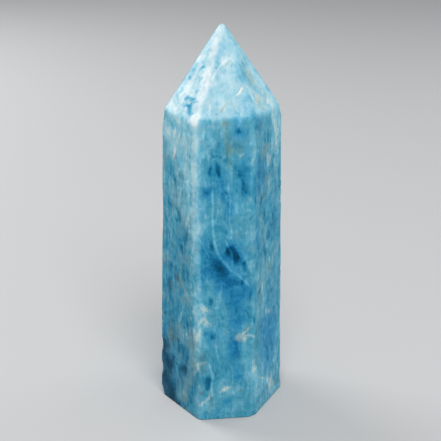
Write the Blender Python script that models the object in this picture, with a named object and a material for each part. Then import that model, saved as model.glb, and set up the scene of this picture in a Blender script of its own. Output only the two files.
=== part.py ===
"""A polished apatite wand: one cut stone with six long sides, a six-sided tip and a flat sawn foot.

The stone stands on its foot along +Z, with its broad front side facing -Y. It is one solid. Each long
side is a flat plane that leans in a little towards the shoulder, and each tip facet is a flat triangle
that would reach the sharp apex. Tumbling has worn every edge round, each to its own width, turned the
apex into a small round nose, and left shallow nicks in the upright edges.
"""

from dataclasses import dataclass
from math import atan, cos, pi, radians, sin, sqrt, tau

import bmesh
import bpy
from mathutils import Matrix, Vector

MM = 0.001  # the dimensions below are in millimetres, and each finished mesh is scaled to metres

# Driving dimensions.
APEX = Vector((0.2, 0.0, 81.0))  # where the tip facets would meet, a little off the stone's axis
SHOULDER_HEIGHT = 64.0  # the height at which a side's shoulder_apothem is measured
SHOULDER_WEAR = 0.8  # width of the worn edge between a side and its tip facet
RIM_WEAR = 0.6  # width of the worn edge round the foot
NOSE_RADIUS = 1.0  # of the round nose that replaces the sharp apex
NICK_RADIUS = 5.0  # of a nick's scoop, measured across its edge

# Fineness of the round forms.
EDGE_SEGMENTS = 4  # flats across each worn edge
NOSE_RINGS = 6
NOSE_SIDES = 24

WEAR_TO_DEPTH = 0.22  # how far a worn edge lies inside the sharp one, as a share of its width

STONE_BLUE = (0.10, 0.33, 0.47, 1.0)
STONE_ROUGHNESS = 0.18


@dataclass(frozen=True)
class Side:
    """A long flat side. Azimuth is its outward direction in degrees, from -Y towards +X."""

    azimuth: float
    base_apothem: float
    shoulder_apothem: float

    @property
    def outward(self):
        """The side's outward direction, seen from above."""
        return Vector((sin(radians(self.azimuth)), -cos(radians(self.azimuth))))

    def apothem(self, height):
        """Distance from the stone's axis to the side's plane at a height."""
        share = height / SHOULDER_HEIGHT
        return self.base_apothem + share * (self.shoulder_apothem - self.base_apothem)


@dataclass(frozen=True)
class Corner:
    """The upright edge between a side and the next one, and the tip ridge that rises from its top."""

    shoulder_height: float  # where the upright edge ends and the ridge begins
    upright_wear: float  # width of the worn upright edge
    ridge_wear: float  # width of the worn ridge


@dataclass(frozen=True)
class Nick:
    """A shallow scoop worn into an upright edge, deepest at its height on the stone."""

    corner: str
    height: float
    length: float
    depth: float


# Sides and corners in order round the stone. A corner lies between the side in its own row and the
# side in the next row.
SIDES = {
    "left": Side(-51.0, 11.25, 10.7),
    "front": Side(6.5, 11.6, 10.0),
    "right": Side(61.0, 11.25, 9.85),
    "back_right": Side(125.0, 11.3, 10.4),
    "back": Side(181.0, 11.3, 10.0),
    "back_left": Side(-112.5, 11.45, 9.15),
}
CORNERS = {
    "left_front": Corner(63.8, 1.8, 1.5),
    "front_right": Corner(64.1, 1.1, 0.9),
    "right_back": Corner(63.9, 1.0, 1.2),
    "back_right": Corner(63.6, 1.2, 1.0),
    "back_left": Corner(64.4, 1.5, 1.1),
    "left_back": Corner(64.1, 0.6, 0.9),
}
NICKS = (
    Nick("front_right", 0.0, 3.0, 0.35),
    Nick("right_back", 65.0, 6.0, 0.50),
    Nick("right_back", 37.5, 9.0, 0.15),
    Nick("right_back", 17.5, 8.0, 0.20),
    Nick("right_back", 9.5, 4.6, 0.12),
    Nick("right_back", 3.6, 4.0, 0.25),
    Nick("back_right", 49.0, 7.0, 0.25),
    Nick("back_right", 22.0, 9.0, 0.22),
    Nick("back_right", 0.0, 4.0, 0.50),
    Nick("back_left", 55.0, 5.0, 0.22),
    Nick("back_left", 31.0, 8.0, 0.28),
    Nick("back_left", 9.5, 4.4, 0.25),
    Nick("left_back", 64.5, 5.0, 0.25),
    Nick("left_back", 43.0, 10.0, 0.15),
    Nick("left_back", 12.3, 3.6, 0.28),
    Nick("left_back", 6.4, 3.4, 0.28),
    Nick("left_back", 0.0, 4.4, 0.55),
)


def clear_scene():
    """Removes the objects that the scene starts with."""
    for obj in list(bpy.data.objects):
        bpy.data.objects.remove(obj)


def stone_material():
    """The polished blue stone."""
    material = bpy.data.materials.new("polished_apatite")
    material.use_nodes = True
    shader = material.node_tree.nodes["Principled BSDF"]
    shader.inputs["Base Color"].default_value = STONE_BLUE
    shader.inputs["Roughness"].default_value = STONE_ROUGHNESS
    shader.inputs["Metallic"].default_value = 0.0
    return material


def sides_of(corner):
    """The two sides that meet at a corner, in order round the stone."""
    place = list(CORNERS).index(corner)
    sides = list(SIDES.values())
    return sides[place], sides[(place + 1) % len(sides)]


def sharp_corner(corner, height):
    """Where the planes of a corner's two sides would meet at a height."""
    first, second = sides_of(corner)
    planes = Matrix((first.outward, second.outward))
    meeting = planes.inverted() @ Vector((first.apothem(height), second.apothem(height)))
    return Vector((meeting.x, meeting.y, height))


def widest_wear():
    """The widest worn edge, which has a bevel weight of 1."""
    return max(corner.upright_wear for corner in CORNERS.values())


def tip_half_angle():
    """The angle between the stone's axis and a tip facet, as a mean over the six facets."""
    mean_apothem = sum(side.shoulder_apothem for side in SIDES.values()) / len(SIDES)
    return atan(mean_apothem / (APEX.z - SHOULDER_HEIGHT))


def finished_mesh(bm, name):
    """Turns a bmesh in millimetres into a smooth-shaded mesh in metres."""
    bmesh.ops.scale(bm, vec=(MM, MM, MM), verts=bm.verts)
    mesh = bpy.data.meshes.new(name)
    bm.to_mesh(mesh)
    bm.free()
    mesh.shade_smooth()
    return mesh


def sharp_stone():
    """The unworn stone: a foot, six sides and six tip facets, with each edge's wear as a bevel weight."""
    bm = bmesh.new()
    weight = bm.edges.layers.float.new("bevel_weight_edge")
    foot = [bm.verts.new(sharp_corner(name, 0.0)) for name in CORNERS]
    shoulder = [
        bm.verts.new(sharp_corner(name, corner.shoulder_height)) for name, corner in CORNERS.items()
    ]
    apex = bm.verts.new(APEX)

    bm.faces.new(reversed(foot))
    for here, corner in enumerate(CORNERS.values()):
        after = (here + 1) % len(CORNERS)
        bm.faces.new((foot[here], foot[after], shoulder[after], shoulder[here]))
        bm.faces.new((shoulder[here], shoulder[after], apex))
        wear_of_edges = {
            (foot[here], shoulder[here]): corner.upright_wear,
            (shoulder[here], apex): corner.ridge_wear,
            (shoulder[here], shoulder[after]): SHOULDER_WEAR,
            (foot[here], foot[after]): RIM_WEAR,
        }
        for ends, wear in wear_of_edges.items():
            bm.edges.get(ends)[weight] = wear / widest_wear()
    return finished_mesh(bm, "apatite_wand")


def wear_edges(stone):
    """Rounds every edge to its own width."""
    bevel = stone.modifiers.new("worn_edges", "BEVEL")
    bevel.limit_method = "WEIGHT"
    bevel.offset_type = "WIDTH"
    bevel.width = widest_wear() * MM
    bevel.segments = EDGE_SEGMENTS


def nose_cutter():
    """A turned cap, hollowed from below by the nose's dome, that takes off the sharp apex."""
    centre_height = APEX.z - NOSE_RADIUS / sin(tip_half_angle())
    dome_angle = pi / 2 - tip_half_angle()  # from the top of the dome to where it meets the facets
    top_height = APEX.z + NOSE_RADIUS
    outer_radius = 3 * NOSE_RADIUS

    profile = []
    for ring in range(NOSE_RINGS + 1):
        angle = dome_angle * ring / NOSE_RINGS
        profile.append((NOSE_RADIUS * sin(angle), centre_height + NOSE_RADIUS * cos(angle)))
    profile.append((outer_radius, profile[-1][1]))
    profile.append((outer_radius, top_height))
    profile.append((0.0, top_height))

    bm = bmesh.new()
    ring_verts = [bm.verts.new((APEX.x + radius, APEX.y, height)) for radius, height in profile]
    ring_edges = [bm.edges.new(pair) for pair in zip(ring_verts, ring_verts[1:])]
    bmesh.ops.spin(
        bm, geom=ring_verts + ring_edges, cent=APEX, axis=(0, 0, 1), angle=tau, steps=NOSE_SIDES
    )
    bmesh.ops.remove_doubles(bm, verts=bm.verts, dist=NOSE_RADIUS / 1000)
    bmesh.ops.recalc_face_normals(bm, faces=bm.faces)
    return finished_mesh(bm, "nose_cutter")


def nick_cutter(nick):
    """A ball drawn out along an upright edge, which dips below the worn edge by the nick's depth."""
    along = (sharp_corner(nick.corner, SHOULDER_HEIGHT) - sharp_corner(nick.corner, 0.0)).normalized()
    first, second = sides_of(nick.corner)
    outward = (first.outward + second.outward).normalized().to_3d()
    worn_depth = WEAR_TO_DEPTH * CORNERS[nick.corner].upright_wear
    centre_offset = NICK_RADIUS - worn_depth - nick.depth

    cut_share = sqrt(1 - (1 - nick.depth / NICK_RADIUS) ** 2)  # of the drawn-out ball's length
    half_length = nick.length / 2 / cut_share

    bm = bmesh.new()
    bmesh.ops.create_icosphere(bm, subdivisions=3, radius=1.0)
    bmesh.ops.scale(bm, vec=(NICK_RADIUS, NICK_RADIUS, half_length), verts=bm.verts)
    bmesh.ops.rotate(bm, matrix=along.to_track_quat("Z", "Y").to_matrix(), verts=bm.verts)
    centre = sharp_corner(nick.corner, nick.height) + outward * centre_offset
    bmesh.ops.translate(bm, vec=centre, verts=bm.verts)
    return finished_mesh(bm, "nick_cutter")


def cut_nose_and_nicks(stone):
    """Takes the nose and every nick out of the stone with one Boolean."""
    cutters = bpy.data.collections.new("wear_cutters")
    bpy.context.scene.collection.children.link(cutters)
    for mesh in [nose_cutter()] + [nick_cutter(nick) for nick in NICKS]:
        cutter = bpy.data.objects.new(mesh.name, mesh)
        cutter.parent = stone
        cutter.hide_render = True
        cutter.display_type = "WIRE"
        cutters.objects.link(cutter)
    cut = stone.modifiers.new("nose_and_nicks", "BOOLEAN")
    cut.operation = "DIFFERENCE"
    cut.operand_type = "COLLECTION"
    cut.collection = cutters
    cut.solver = "EXACT"


def stand_on_origin(stone):
    """Moves the stone so that the middle of its outline, at the foot, is the origin."""
    evaluated = stone.evaluated_get(bpy.context.evaluated_depsgraph_get())
    corners = [Vector(corner) for corner in evaluated.bound_box]
    middle = sum(corners, Vector()) / len(corners)
    lowest = min(corner.z for corner in corners)
    stone.location = (-middle.x, -middle.y, -lowest)


def build():
    """Makes the stone."""
    clear_scene()
    stone = bpy.data.objects.new("apatite_wand", sharp_stone())
    stone.data.materials.append(stone_material())
    bpy.context.scene.collection.objects.link(stone)
    wear_edges(stone)
    cut_nose_and_nicks(stone)
    stone.modifiers.new("flat_faces_shade_flat", "WEIGHTED_NORMAL")
    stand_on_origin(stone)


build()
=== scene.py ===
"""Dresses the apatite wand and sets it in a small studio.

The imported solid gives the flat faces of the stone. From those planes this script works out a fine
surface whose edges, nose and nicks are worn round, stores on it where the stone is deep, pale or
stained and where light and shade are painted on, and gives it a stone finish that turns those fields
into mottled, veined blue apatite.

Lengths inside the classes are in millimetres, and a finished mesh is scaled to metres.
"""

import logging
from dataclasses import dataclass, field
from enum import Enum
from functools import reduce
from operator import add, mul
from typing import Iterable, Mapping, Sequence

import bpy
import numpy as np
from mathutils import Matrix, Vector


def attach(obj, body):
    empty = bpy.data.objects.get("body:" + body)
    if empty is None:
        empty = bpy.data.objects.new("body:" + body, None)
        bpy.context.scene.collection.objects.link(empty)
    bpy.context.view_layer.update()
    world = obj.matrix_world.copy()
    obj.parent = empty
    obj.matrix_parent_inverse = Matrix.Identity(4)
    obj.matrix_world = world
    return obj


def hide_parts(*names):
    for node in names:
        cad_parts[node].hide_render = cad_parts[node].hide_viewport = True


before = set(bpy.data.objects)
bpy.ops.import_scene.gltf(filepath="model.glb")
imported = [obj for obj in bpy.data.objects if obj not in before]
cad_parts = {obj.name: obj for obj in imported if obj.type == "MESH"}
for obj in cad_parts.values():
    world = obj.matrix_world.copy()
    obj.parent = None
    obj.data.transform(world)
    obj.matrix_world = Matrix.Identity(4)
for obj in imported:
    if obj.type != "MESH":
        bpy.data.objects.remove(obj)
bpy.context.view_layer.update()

LOG = logging.getLogger("apatite_wand")

MM = 0.001
NODE = "apatite_wand"
BODY = "root"

Array = np.ndarray
Pair = tuple[float, float]
Triple = tuple[float, float, float]
Colour = Triple


class Side(Enum):
    """The six long sides, in order round the stone. Each carries the tip facet above it."""

    BACK_LEFT = 0
    LEFT = 1
    FRONT = 2
    RIGHT = 3
    BACK_RIGHT = 4
    BACK = 5


class Corner(Enum):
    """The six upright edges. Each lies between the side of its own number and the next side."""

    LEFT_BACK = 0
    LEFT_FRONT = 1
    FRONT_RIGHT = 2
    RIGHT_BACK = 3
    BACK_RIGHT = 4
    BACK_LEFT = 5


class Field(Enum):
    """What is stored at each point for the stone's finish, from 0 to 1 unless told otherwise."""

    DEEP = "deep"  # clear, dark windows into the stone
    AZURE = "azure"  # stronger, darker blue
    PALE = "pale"  # milky clouds
    CREAM = "cream"  # cracks and pockets filled with cream mineral
    VEIN = "vein"  # healed cracks, filled with pale mineral
    TAN = "tan"  # rusty stain
    BLOOM = "bloom"  # partly whitened by the cut, partly painted reflection on the tip facets and painted highlight along worn edges
    FIBRE = "fibre"  # how far the grain runs in upright fibres instead of clouds
    PAINTED_SHADING = "shade"  # painted light and shade: how much lighter or darker a whole stretch of a side is, below or above 0


# ---------------------------------------------------------------------------------------------
# Numbers that vary smoothly in space
# ---------------------------------------------------------------------------------------------


def smoothstep(low: float, high: float, value: Array) -> Array:
    """A ramp from 0 at low to 1 at high with flat ends: 3t² - 2t³ of the clipped share t.

    Args:
        low: where the ramp starts.
        high: where it ends, above low or below it.
        value: any array.

    Returns:
        An array of the same shape, from 0 to 1.
    """
    share = np.clip((value - low) / (high - low), 0.0, 1.0)
    return share * share * (3.0 - 2.0 * share)


def soft_max(values: Array, blend: float | Array) -> Array:
    """The largest value, with the meeting of two values rounded off: k · log of the sum of exp(v/k).

    Args:
        values: an array whose last axis is reduced.
        blend: the rounding k, a number or one for each entry that is left.

    Returns:
        An array without the last axis, never below the true maximum.
    """
    top = values.max(axis=-1)
    spread = (values - top[..., None]) / np.asarray(blend)[..., None]
    return top + blend * np.log(np.exp(spread).sum(axis=-1))


class Noise:
    """A smooth random field from -1 to 1: random numbers on a lattice, blended between its corners."""

    CELLS = 32  # the lattice repeats after this many cells

    def __init__(self, seed: int) -> None:
        """Fills the lattice.

        Args:
            seed: makes one field different from the next.
        """
        self.lattice = np.random.default_rng(seed).uniform(-1.0, 1.0, (self.CELLS,) * 3)

    def __call__(self, points: Array, wavelength: float | Sequence[float]) -> Array:
        """Reads the field: each point's lattice cell, weighted by 3t² - 2t³ along each axis.

        Args:
            points: (..., 3) places in millimetres.
            wavelength: the size of a lattice cell in millimetres, one number or one for each axis.

        Returns:
            (...) values from -1 to 1.
        """
        place = points / np.asarray(wavelength, float)
        cell = np.floor(place).astype(int)
        share = smoothstep(0.0, 1.0, place - cell)
        total = np.zeros(points.shape[:-1])
        for corner in np.ndindex(2, 2, 2):
            weight = np.prod(np.where(corner, share, 1.0 - share), axis=-1)
            x, y, z = np.moveaxis((cell + corner) % self.CELLS, -1, 0)
            total += weight * self.lattice[x, y, z]
        return total


# ---------------------------------------------------------------------------------------------
# The shape of the stone
# ---------------------------------------------------------------------------------------------


@dataclass(frozen=True)
class Wear:
    """How wide polishing has worn an upright edge and the tip ridge above it, in millimetres."""

    upright: float
    ridge: float


@dataclass(frozen=True)
class Nick:
    """A shallow scoop worn into an upright edge, deepest at its height on the stone."""

    corner: Corner
    height: float
    length: float
    depth: float


@dataclass(frozen=True)
class Ripple:
    """One size of wave in the lapped faces."""

    seed: int
    wavelength: float
    share: float


@dataclass
class StoneShape:
    """The worn outer surface of the stone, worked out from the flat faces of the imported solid."""

    node: bpy.types.Object
    flat_within: float = 0.6  # degrees between the triangles of one flat face
    side_rise: float = 0.25  # a long side's direction rises less than this, and a facet's more
    first_turn: float = -150.0  # a direction just before the back left side's, in degrees
    wear: Mapping[Corner, Wear] = field(
        default_factory=lambda: {
            Corner.LEFT_BACK: Wear(0.6, 1.6),
            Corner.LEFT_FRONT: Wear(1.8, 1.5),
            Corner.FRONT_RIGHT: Wear(1.1, 0.9),
            Corner.RIGHT_BACK: Wear(1.0, 1.7),
            Corner.BACK_RIGHT: Wear(1.2, 1.0),
            Corner.BACK_LEFT: Wear(1.5, 1.1),
        }
    )
    nicks: Sequence[Nick] = (
        Nick(Corner.FRONT_RIGHT, 0.0, 3.0, 0.35),
        Nick(Corner.RIGHT_BACK, 65.0, 6.0, 0.62),
        Nick(Corner.RIGHT_BACK, 37.5, 9.0, 0.15),
        Nick(Corner.RIGHT_BACK, 17.5, 8.0, 0.20),
        Nick(Corner.RIGHT_BACK, 9.5, 4.6, 0.12),
        Nick(Corner.RIGHT_BACK, 3.6, 4.0, 0.25),
        Nick(Corner.BACK_RIGHT, 49.0, 7.0, 0.25),
        Nick(Corner.BACK_RIGHT, 22.0, 9.0, 0.22),
        Nick(Corner.BACK_RIGHT, 0.0, 4.0, 0.50),
        Nick(Corner.BACK_LEFT, 55.0, 5.0, 0.22),
        Nick(Corner.BACK_LEFT, 31.0, 8.0, 0.28),
        Nick(Corner.BACK_LEFT, 9.5, 4.4, 0.25),
        Nick(Corner.LEFT_BACK, 64.5, 6.0, 0.45),
        Nick(Corner.LEFT_BACK, 43.0, 10.0, 0.15),
        Nick(Corner.LEFT_BACK, 12.3, 3.6, 0.28),
        Nick(Corner.LEFT_BACK, 6.4, 3.4, 0.28),
        Nick(Corner.LEFT_BACK, 0.0, 4.4, 0.55),
    )
    nick_radius: float = 5.0
    half_corner: float = 30.0  # half the turn from one side to the next, in degrees
    wear_to_blend: float = 0.2  # a worn edge's rounding k, as a share of its width
    blend_change: Pair = (0.3, 0.7)  # where across a side one edge's rounding gives way to the next's
    nose_radius: float = 1.15
    nose_fall: float = 3.0  # how steeply the nose's height drops under the place where it ends
    nose_blend: float = 0.05
    shoulder_blend: float = 0.14
    rim_blend: float = 0.11
    nick_blend: float = 0.03

    unevenness: float = 0.035  # how far lapping left the flat faces from flat
    lapped_away: float = 0.6  # what the waves are lowered by, as a share of the unevenness
    ripples: Sequence[Ripple] = (Ripple(11, 11.0, 1.0), Ripple(12, 4.5, 0.6), Ripple(13, 1.7, 0.25))
    chipping: float = 0.10  # depth of the small chips along the edges
    chip_reach: float = 0.35  # how far from an edge they spread
    chip_seed: int = 14
    chip_size: Triple = (1.4, 1.4, 1.0)
    chip_rise: Pair = (0.35, 0.8)  # the noise between which a chip comes in
    pitting: float = 0.03  # depth of the pits all over
    pit_seed: int = 15
    pit_size: Triple = (0.7, 0.7, 0.9)
    pit_rise: Pair = (0.62, 0.9)
    flat_foot: float = 1.2  # the height up to which the unevenness grows from 0

    columns: Sequence[int] = (34, 54, 76, 46, 34, 34)  # by Side: finest where the markings are finest
    foot_rows: int = 12
    side_rows: int = 252
    tip_rows: int = 86
    corner_crowding: float = 0.40  # 0 spaces columns evenly, 1 crowds them at the corners
    row_crowding: float = 0.25
    core_low: float = 6.0  # heights between which the rays that find the surface stay level
    core_high: float = 58.0
    search: Pair = (0.75, 1.01)  # the shares of a ray between which the surface lies
    halvings: int = 22

    def __post_init__(self) -> None:
        """Finds the planes and the sharp corners in which they meet."""
        faces = self._flat_faces(count=2 * len(Side) + 1)
        up = faces[:, 2]
        turn = np.degrees(np.arctan2(faces[:, 0], -faces[:, 1]))
        order = np.argsort((turn - self.first_turn) % 360.0)
        self.foot = faces[np.argmin(up)]
        self.sides = faces[[i for i in order if abs(up[i]) < self.side_rise]]
        self.facets = faces[[i for i in order if up[i] >= self.side_rise]]
        following = np.roll(np.arange(len(Side)), -1)
        self.foot_corners = self._meeting(self.sides, self.sides[following], self.foot)
        self.shoulder_corners = self._meeting(self.sides, self.sides[following], self.facets)
        self.apex = np.linalg.lstsq(self.facets[:, :3], self.facets[:, 3], rcond=None)[0]
        self.foot_middle = self.foot_corners.mean(axis=0)

    def _flat_faces(self, count: int) -> Array:
        """Finds the largest flat faces: triangles that point the same way are added up.

        Args:
            count: how many faces.

        Returns:
            (count, 4) outward direction and distance from the origin, in millimetres.
        """
        mesh = self.node.data
        mesh.calc_loop_triangles()
        corners = np.empty(len(mesh.loop_triangles) * 3, np.int32)
        places = np.empty(len(mesh.vertices) * 3, np.float32)
        mesh.loop_triangles.foreach_get("vertices", corners)
        mesh.vertices.foreach_get("co", places)
        triangles = (places.reshape(-1, 3)[corners.reshape(-1, 3)] / MM).astype(float)
        cross = np.cross(triangles[:, 1] - triangles[:, 0], triangles[:, 2] - triangles[:, 0])
        area = np.linalg.norm(cross, axis=1)
        normal = cross / np.maximum(area, np.finfo(float).tiny)[:, None]
        distance = np.einsum("ij,ij->i", normal, triangles.mean(axis=1))

        same_way = np.cos(np.radians(self.flat_within))
        faces = []
        for _ in range(count):
            alike = normal @ normal.T > same_way
            members = alike[np.argmax(alike @ area)]
            weight = np.where(members, area, 0.0)
            direction = weight @ normal
            direction /= np.linalg.norm(direction)
            faces.append((*direction, weight @ distance / weight.sum()))
            area = np.where(members, 0.0, area)
        return np.array(faces)

    @staticmethod
    def _meeting(first: Array, second: Array, third: Array) -> Array:
        """The points in which planes meet, three at a time: the solution of three plane equations.

        Args:
            first: (n, 4) planes.
            second: (n, 4) planes.
            third: (n, 4) planes, or one plane for all.

        Returns:
            (n, 3) points.
        """
        third = np.broadcast_to(third, first.shape)
        planes = np.stack([first, second, third], axis=1)
        return np.linalg.solve(planes[..., :3], planes[..., 3:])[..., 0]

    @staticmethod
    def heights(points: Array, planes: Array) -> Array:
        """How far each point lies above each plane."""
        return points @ planes[:, :3].T - planes[:, 3]

    @staticmethod
    def _crowded(count: int, crowding: float) -> Array:
        """Shares from 0 to just below 1 that lie closer together at both ends: t - c·sin(2πt)/2π.

        Args:
            count: how many.
            crowding: c, from 0 for even spacing to 1.

        Returns:
            (count,) rising shares.
        """
        share = np.linspace(0.0, 1.0, count, endpoint=False)
        return share - crowding * np.sin(2.0 * np.pi * share) / (2.0 * np.pi)

    def _round_the_stone(self, corners: Array) -> Array:
        """Carries a ring of corners into a ring of columns: straight lines between the corners.

        Args:
            corners: (6, 3) points, one for each upright edge.

        Returns:
            (columns, 3) points. A side's columns start at the corner before it.
        """
        before = np.roll(corners, 1, axis=0)
        ring = [
            start + (end - start) * self._crowded(count, self.corner_crowding)[:, None]
            for start, end, count in zip(before, corners, self.columns)
        ]
        return np.concatenate(ring)

    def sharp_grid(self) -> Array:
        """The unworn surface on a grid: foot, sides and facets as straight lines from ring to ring.

        Returns:
            (rows, columns, 3) points, from the middle of the foot to just below the apex.
        """
        foot_ring = self._round_the_stone(self.foot_corners)
        shoulder_ring = self._round_the_stone(self.shoulder_corners)
        centre = np.broadcast_to(self.foot_middle, foot_ring.shape)
        apex = np.broadcast_to(self.apex, foot_ring.shape)
        out = self._crowded(self.foot_rows, self.row_crowding)[1:]
        up = self._crowded(self.side_rows, self.row_crowding)
        inwards = self._crowded(self.tip_rows, self.row_crowding)
        stretches = ((centre, foot_ring, out), (foot_ring, shoulder_ring, up), (shoulder_ring, apex, inwards))
        rows = [start + (end - start) * share[:, None, None] for start, end, share in stretches]
        return np.concatenate(rows)

    def _edge_blends(self) -> tuple[Array, Array]:
        """The rounding of the nearest upright edge and tip ridge, blended halfway across each side.

        Returns:
            Two (columns,) arrays of rounding k.
        """
        side = np.repeat(np.arange(len(Side)), self.columns)
        share = np.concatenate([self._crowded(count, self.corner_crowding) for count in self.columns])
        towards_next = smoothstep(*self.blend_change, share)
        blends = []
        for name in ("upright", "ridge"):
            widths = self.wear_to_blend * np.array([getattr(self.wear[corner], name) for corner in Corner])
            before = np.roll(widths, 1)
            blends.append(before[side] + (widths - before)[side] * towards_next)
        return blends[0], blends[1]

    def _nick_depths(self, points: Array) -> Array:
        """How deep each point lies in the nearest nick's scoop, a ball drawn out along its edge.

        Args:
            points: (..., 3) places.

        Returns:
            (...) depths, below 0 outside every scoop.
        """
        deepest = np.full(points.shape[:-1], -np.inf)
        corner_gap = 1.0 / np.cos(np.radians(self.half_corner)) - 1.0  # corner to arc, for a radius of 1
        for nick in self.nicks:
            at = nick.corner.value
            low, high = self.foot_corners[at], self.shoulder_corners[at]
            along = (high - low) / np.linalg.norm(high - low)
            outward = self.sides[at, :3] + self.sides[(at + 1) % len(Side), :3]
            outward = outward / np.linalg.norm(outward)
            worn = self.wear[nick.corner].upright * corner_gap
            edge = low + along * (nick.height / along[2])
            centre = edge + outward * (self.nick_radius - worn - nick.depth)
            cut = np.sqrt(1.0 - (1.0 - nick.depth / self.nick_radius) ** 2)
            half_length = nick.length / 2.0 / cut
            offset = points - centre
            lengthways = offset @ along
            across = np.linalg.norm(offset - lengthways[..., None] * along, axis=-1)
            reach = np.hypot(across / self.nick_radius, lengthways / half_length)
            deepest = np.maximum(deepest, self.nick_radius * (1.0 - reach))
        return deepest

    def _nose(self, points: Array) -> Array:
        """Height above the ball that rounds the nose, for points above where it meets the facets.

        Args:
            points: (..., 3) places.

        Returns:
            (...) heights, falling steeply below 0 under the nose.
        """
        rise = self.facets[:, 2].mean()
        centre = self.apex - np.array([0.0, 0.0, self.nose_radius / rise])
        offset = points - centre
        above = np.linalg.norm(offset, axis=-1) - self.nose_radius
        meets = offset[..., 2] - self.nose_radius * rise
        return above + self.nose_fall * np.minimum(meets, 0.0)

    def outside(self, points: Array, upright: Array, ridge: Array) -> Array:
        """Height above the worn surface: soft maxima of the plane distances, less the nicks.

        The sides are joined with the upright edges' rounding and the facets with the ridges'. Those
        two are joined at the shoulder, then with the foot at the rim, the nose and last the nicks.

        Args:
            points: (rows, columns, 3) places.
            upright: (columns,) rounding of the upright edges.
            ridge: (columns,) rounding of the tip ridges.

        Returns:
            (rows, columns) heights, below 0 inside the stone.
        """
        body = soft_max(self.heights(points, self.sides), upright)
        joined = (
            (soft_max(self.heights(points, self.facets), ridge), self.shoulder_blend),
            (self.heights(points, self.foot[None])[..., 0], self.rim_blend),
            (self._nose(points), self.nose_blend),
            (self._nick_depths(points), self.nick_blend),
        )
        for height, blend in joined:
            body = soft_max(np.stack([body, height], axis=-1), blend)
        return body

    def _unevenness(self, sharp: Array) -> Array:
        """How far the surface lies under the ideal one: slow waves of the faces, chips and pits.

        Args:
            sharp: the unworn grid.

        Returns:
            (rows, columns) depths in millimetres, 0 on the foot.
        """
        planes = np.concatenate([self.sides, self.facets, self.foot[None]])
        nearest = np.sort(self.heights(sharp, planes), axis=-1)[..., -2]
        at_edge = np.exp(-((nearest / self.chip_reach) ** 2))
        waves = sum(r.share * Noise(r.seed)(sharp, r.wavelength) for r in self.ripples)
        chips = smoothstep(*self.chip_rise, Noise(self.chip_seed)(sharp, self.chip_size))
        pits = smoothstep(*self.pit_rise, Noise(self.pit_seed)(sharp, self.pit_size))
        depth = self.unevenness * (self.lapped_away + waves)
        depth = depth + self.chipping * at_edge * chips + self.pitting * pits
        return smoothstep(0.0, self.flat_foot, sharp[..., 2]) * depth

    def worn_grid(self) -> Array:
        """The worn surface on the same grid: each point slides along its ray from the stone's core.

        A ray starts on the axis, at the point's own height between core_low and core_high, and the
        surface is found on it by halving the interval in which outside changes sign.

        Returns:
            (rows, columns, 3) points.
        """
        sharp = self.sharp_grid()
        upright, ridge = self._edge_blends()
        depth = self._unevenness(sharp)
        height = np.clip(sharp[..., 2], self.core_low, self.core_high)
        lean = height / self.apex[2]
        core = self.foot_middle + (self.apex - self.foot_middle) * lean[..., None]
        ray = sharp - core
        near, far = (np.full(sharp.shape[:-1], share) for share in self.search)
        for _ in range(self.halvings):
            middle = (near + far) / 2.0
            inside = self.outside(core + ray * middle[..., None], upright, ridge) < -depth
            near = np.where(inside, middle, near)
            far = np.where(inside, far, middle)
        return core + ray * ((near + far) / 2.0)[..., None]

    def on_surface(self, side: Side, across: Array, height: Array) -> tuple[Array, Array, Array]:
        """Places on a side, or on the facet above it, where a level line out of the axis meets it.

        Args:
            side: which side.
            across: distance to the right of the line straight out from the stone's axis.
            height: distance above the foot.

        Returns:
            (n, 3) points, their (n, 3) outward directions, and the side's direction to the right.
        """
        plane = self.sides[side.value]
        out = plane[:3] * (1.0, 1.0, 0.0)
        out = out / np.linalg.norm(out)
        right = np.array([-out[1], out[0], 0.0])
        level = across[:, None] * right + height[:, None] * np.array([0.0, 0.0, 1.0])
        reaches = []
        for flat in (plane, self.facets[side.value]):
            reaches.append((flat[3] - level @ flat[:3]) / (out @ flat[:3]))
        on_facet = reaches[1] < reaches[0]
        point = level + np.where(on_facet, reaches[1], reaches[0])[:, None] * out
        normal = np.where(on_facet[:, None], self.facets[side.value, :3], plane[:3])
        return point, normal, right


# ---------------------------------------------------------------------------------------------
# What lies in the stone
# ---------------------------------------------------------------------------------------------


@dataclass(frozen=True)
class Patch:
    """A cloud, window or stain in the stone, as an ellipse on a side or its facet.

    Across and height give its middle, in millimetres, as in StoneShape.on_surface. Lean is the
    angle of its long way from upright, in degrees, positive where the top leans to the right.
    """

    kind: Field
    side: Side
    across: float
    height: float
    width: float
    length: float
    lean: float
    strength: float


@dataclass(frozen=True)
class Vein:
    """A healed crack that shows as a thin line on a side or its facet."""

    kind: Field
    side: Side
    width: float
    strength: float
    route: Array | Sequence[Pair]  # across and height of each bend, in millimetres


LEFT, FRONT, RIGHT = Side.LEFT, Side.FRONT, Side.RIGHT
DEEP, AZURE, PALE, CREAM = Field.DEEP, Field.AZURE, Field.PALE, Field.CREAM
VEIN, TAN, BLOOM = Field.VEIN, Field.TAN, Field.BLOOM


def patches(kind: Field, side: Side, *rows: Sequence[float]) -> list[Patch]:
    """Patches of one kind on one side, each from its across, height, width, length, lean, strength."""
    return [Patch(kind, side, *row) for row in rows]


def veins(kind: Field, side: Side, *rows: tuple[float, float, Sequence[Pair]]) -> list[Vein]:
    """Veins of one kind on one side, each from its width, its strength and its route."""
    return [Vein(kind, side, *row) for row in rows]


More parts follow.
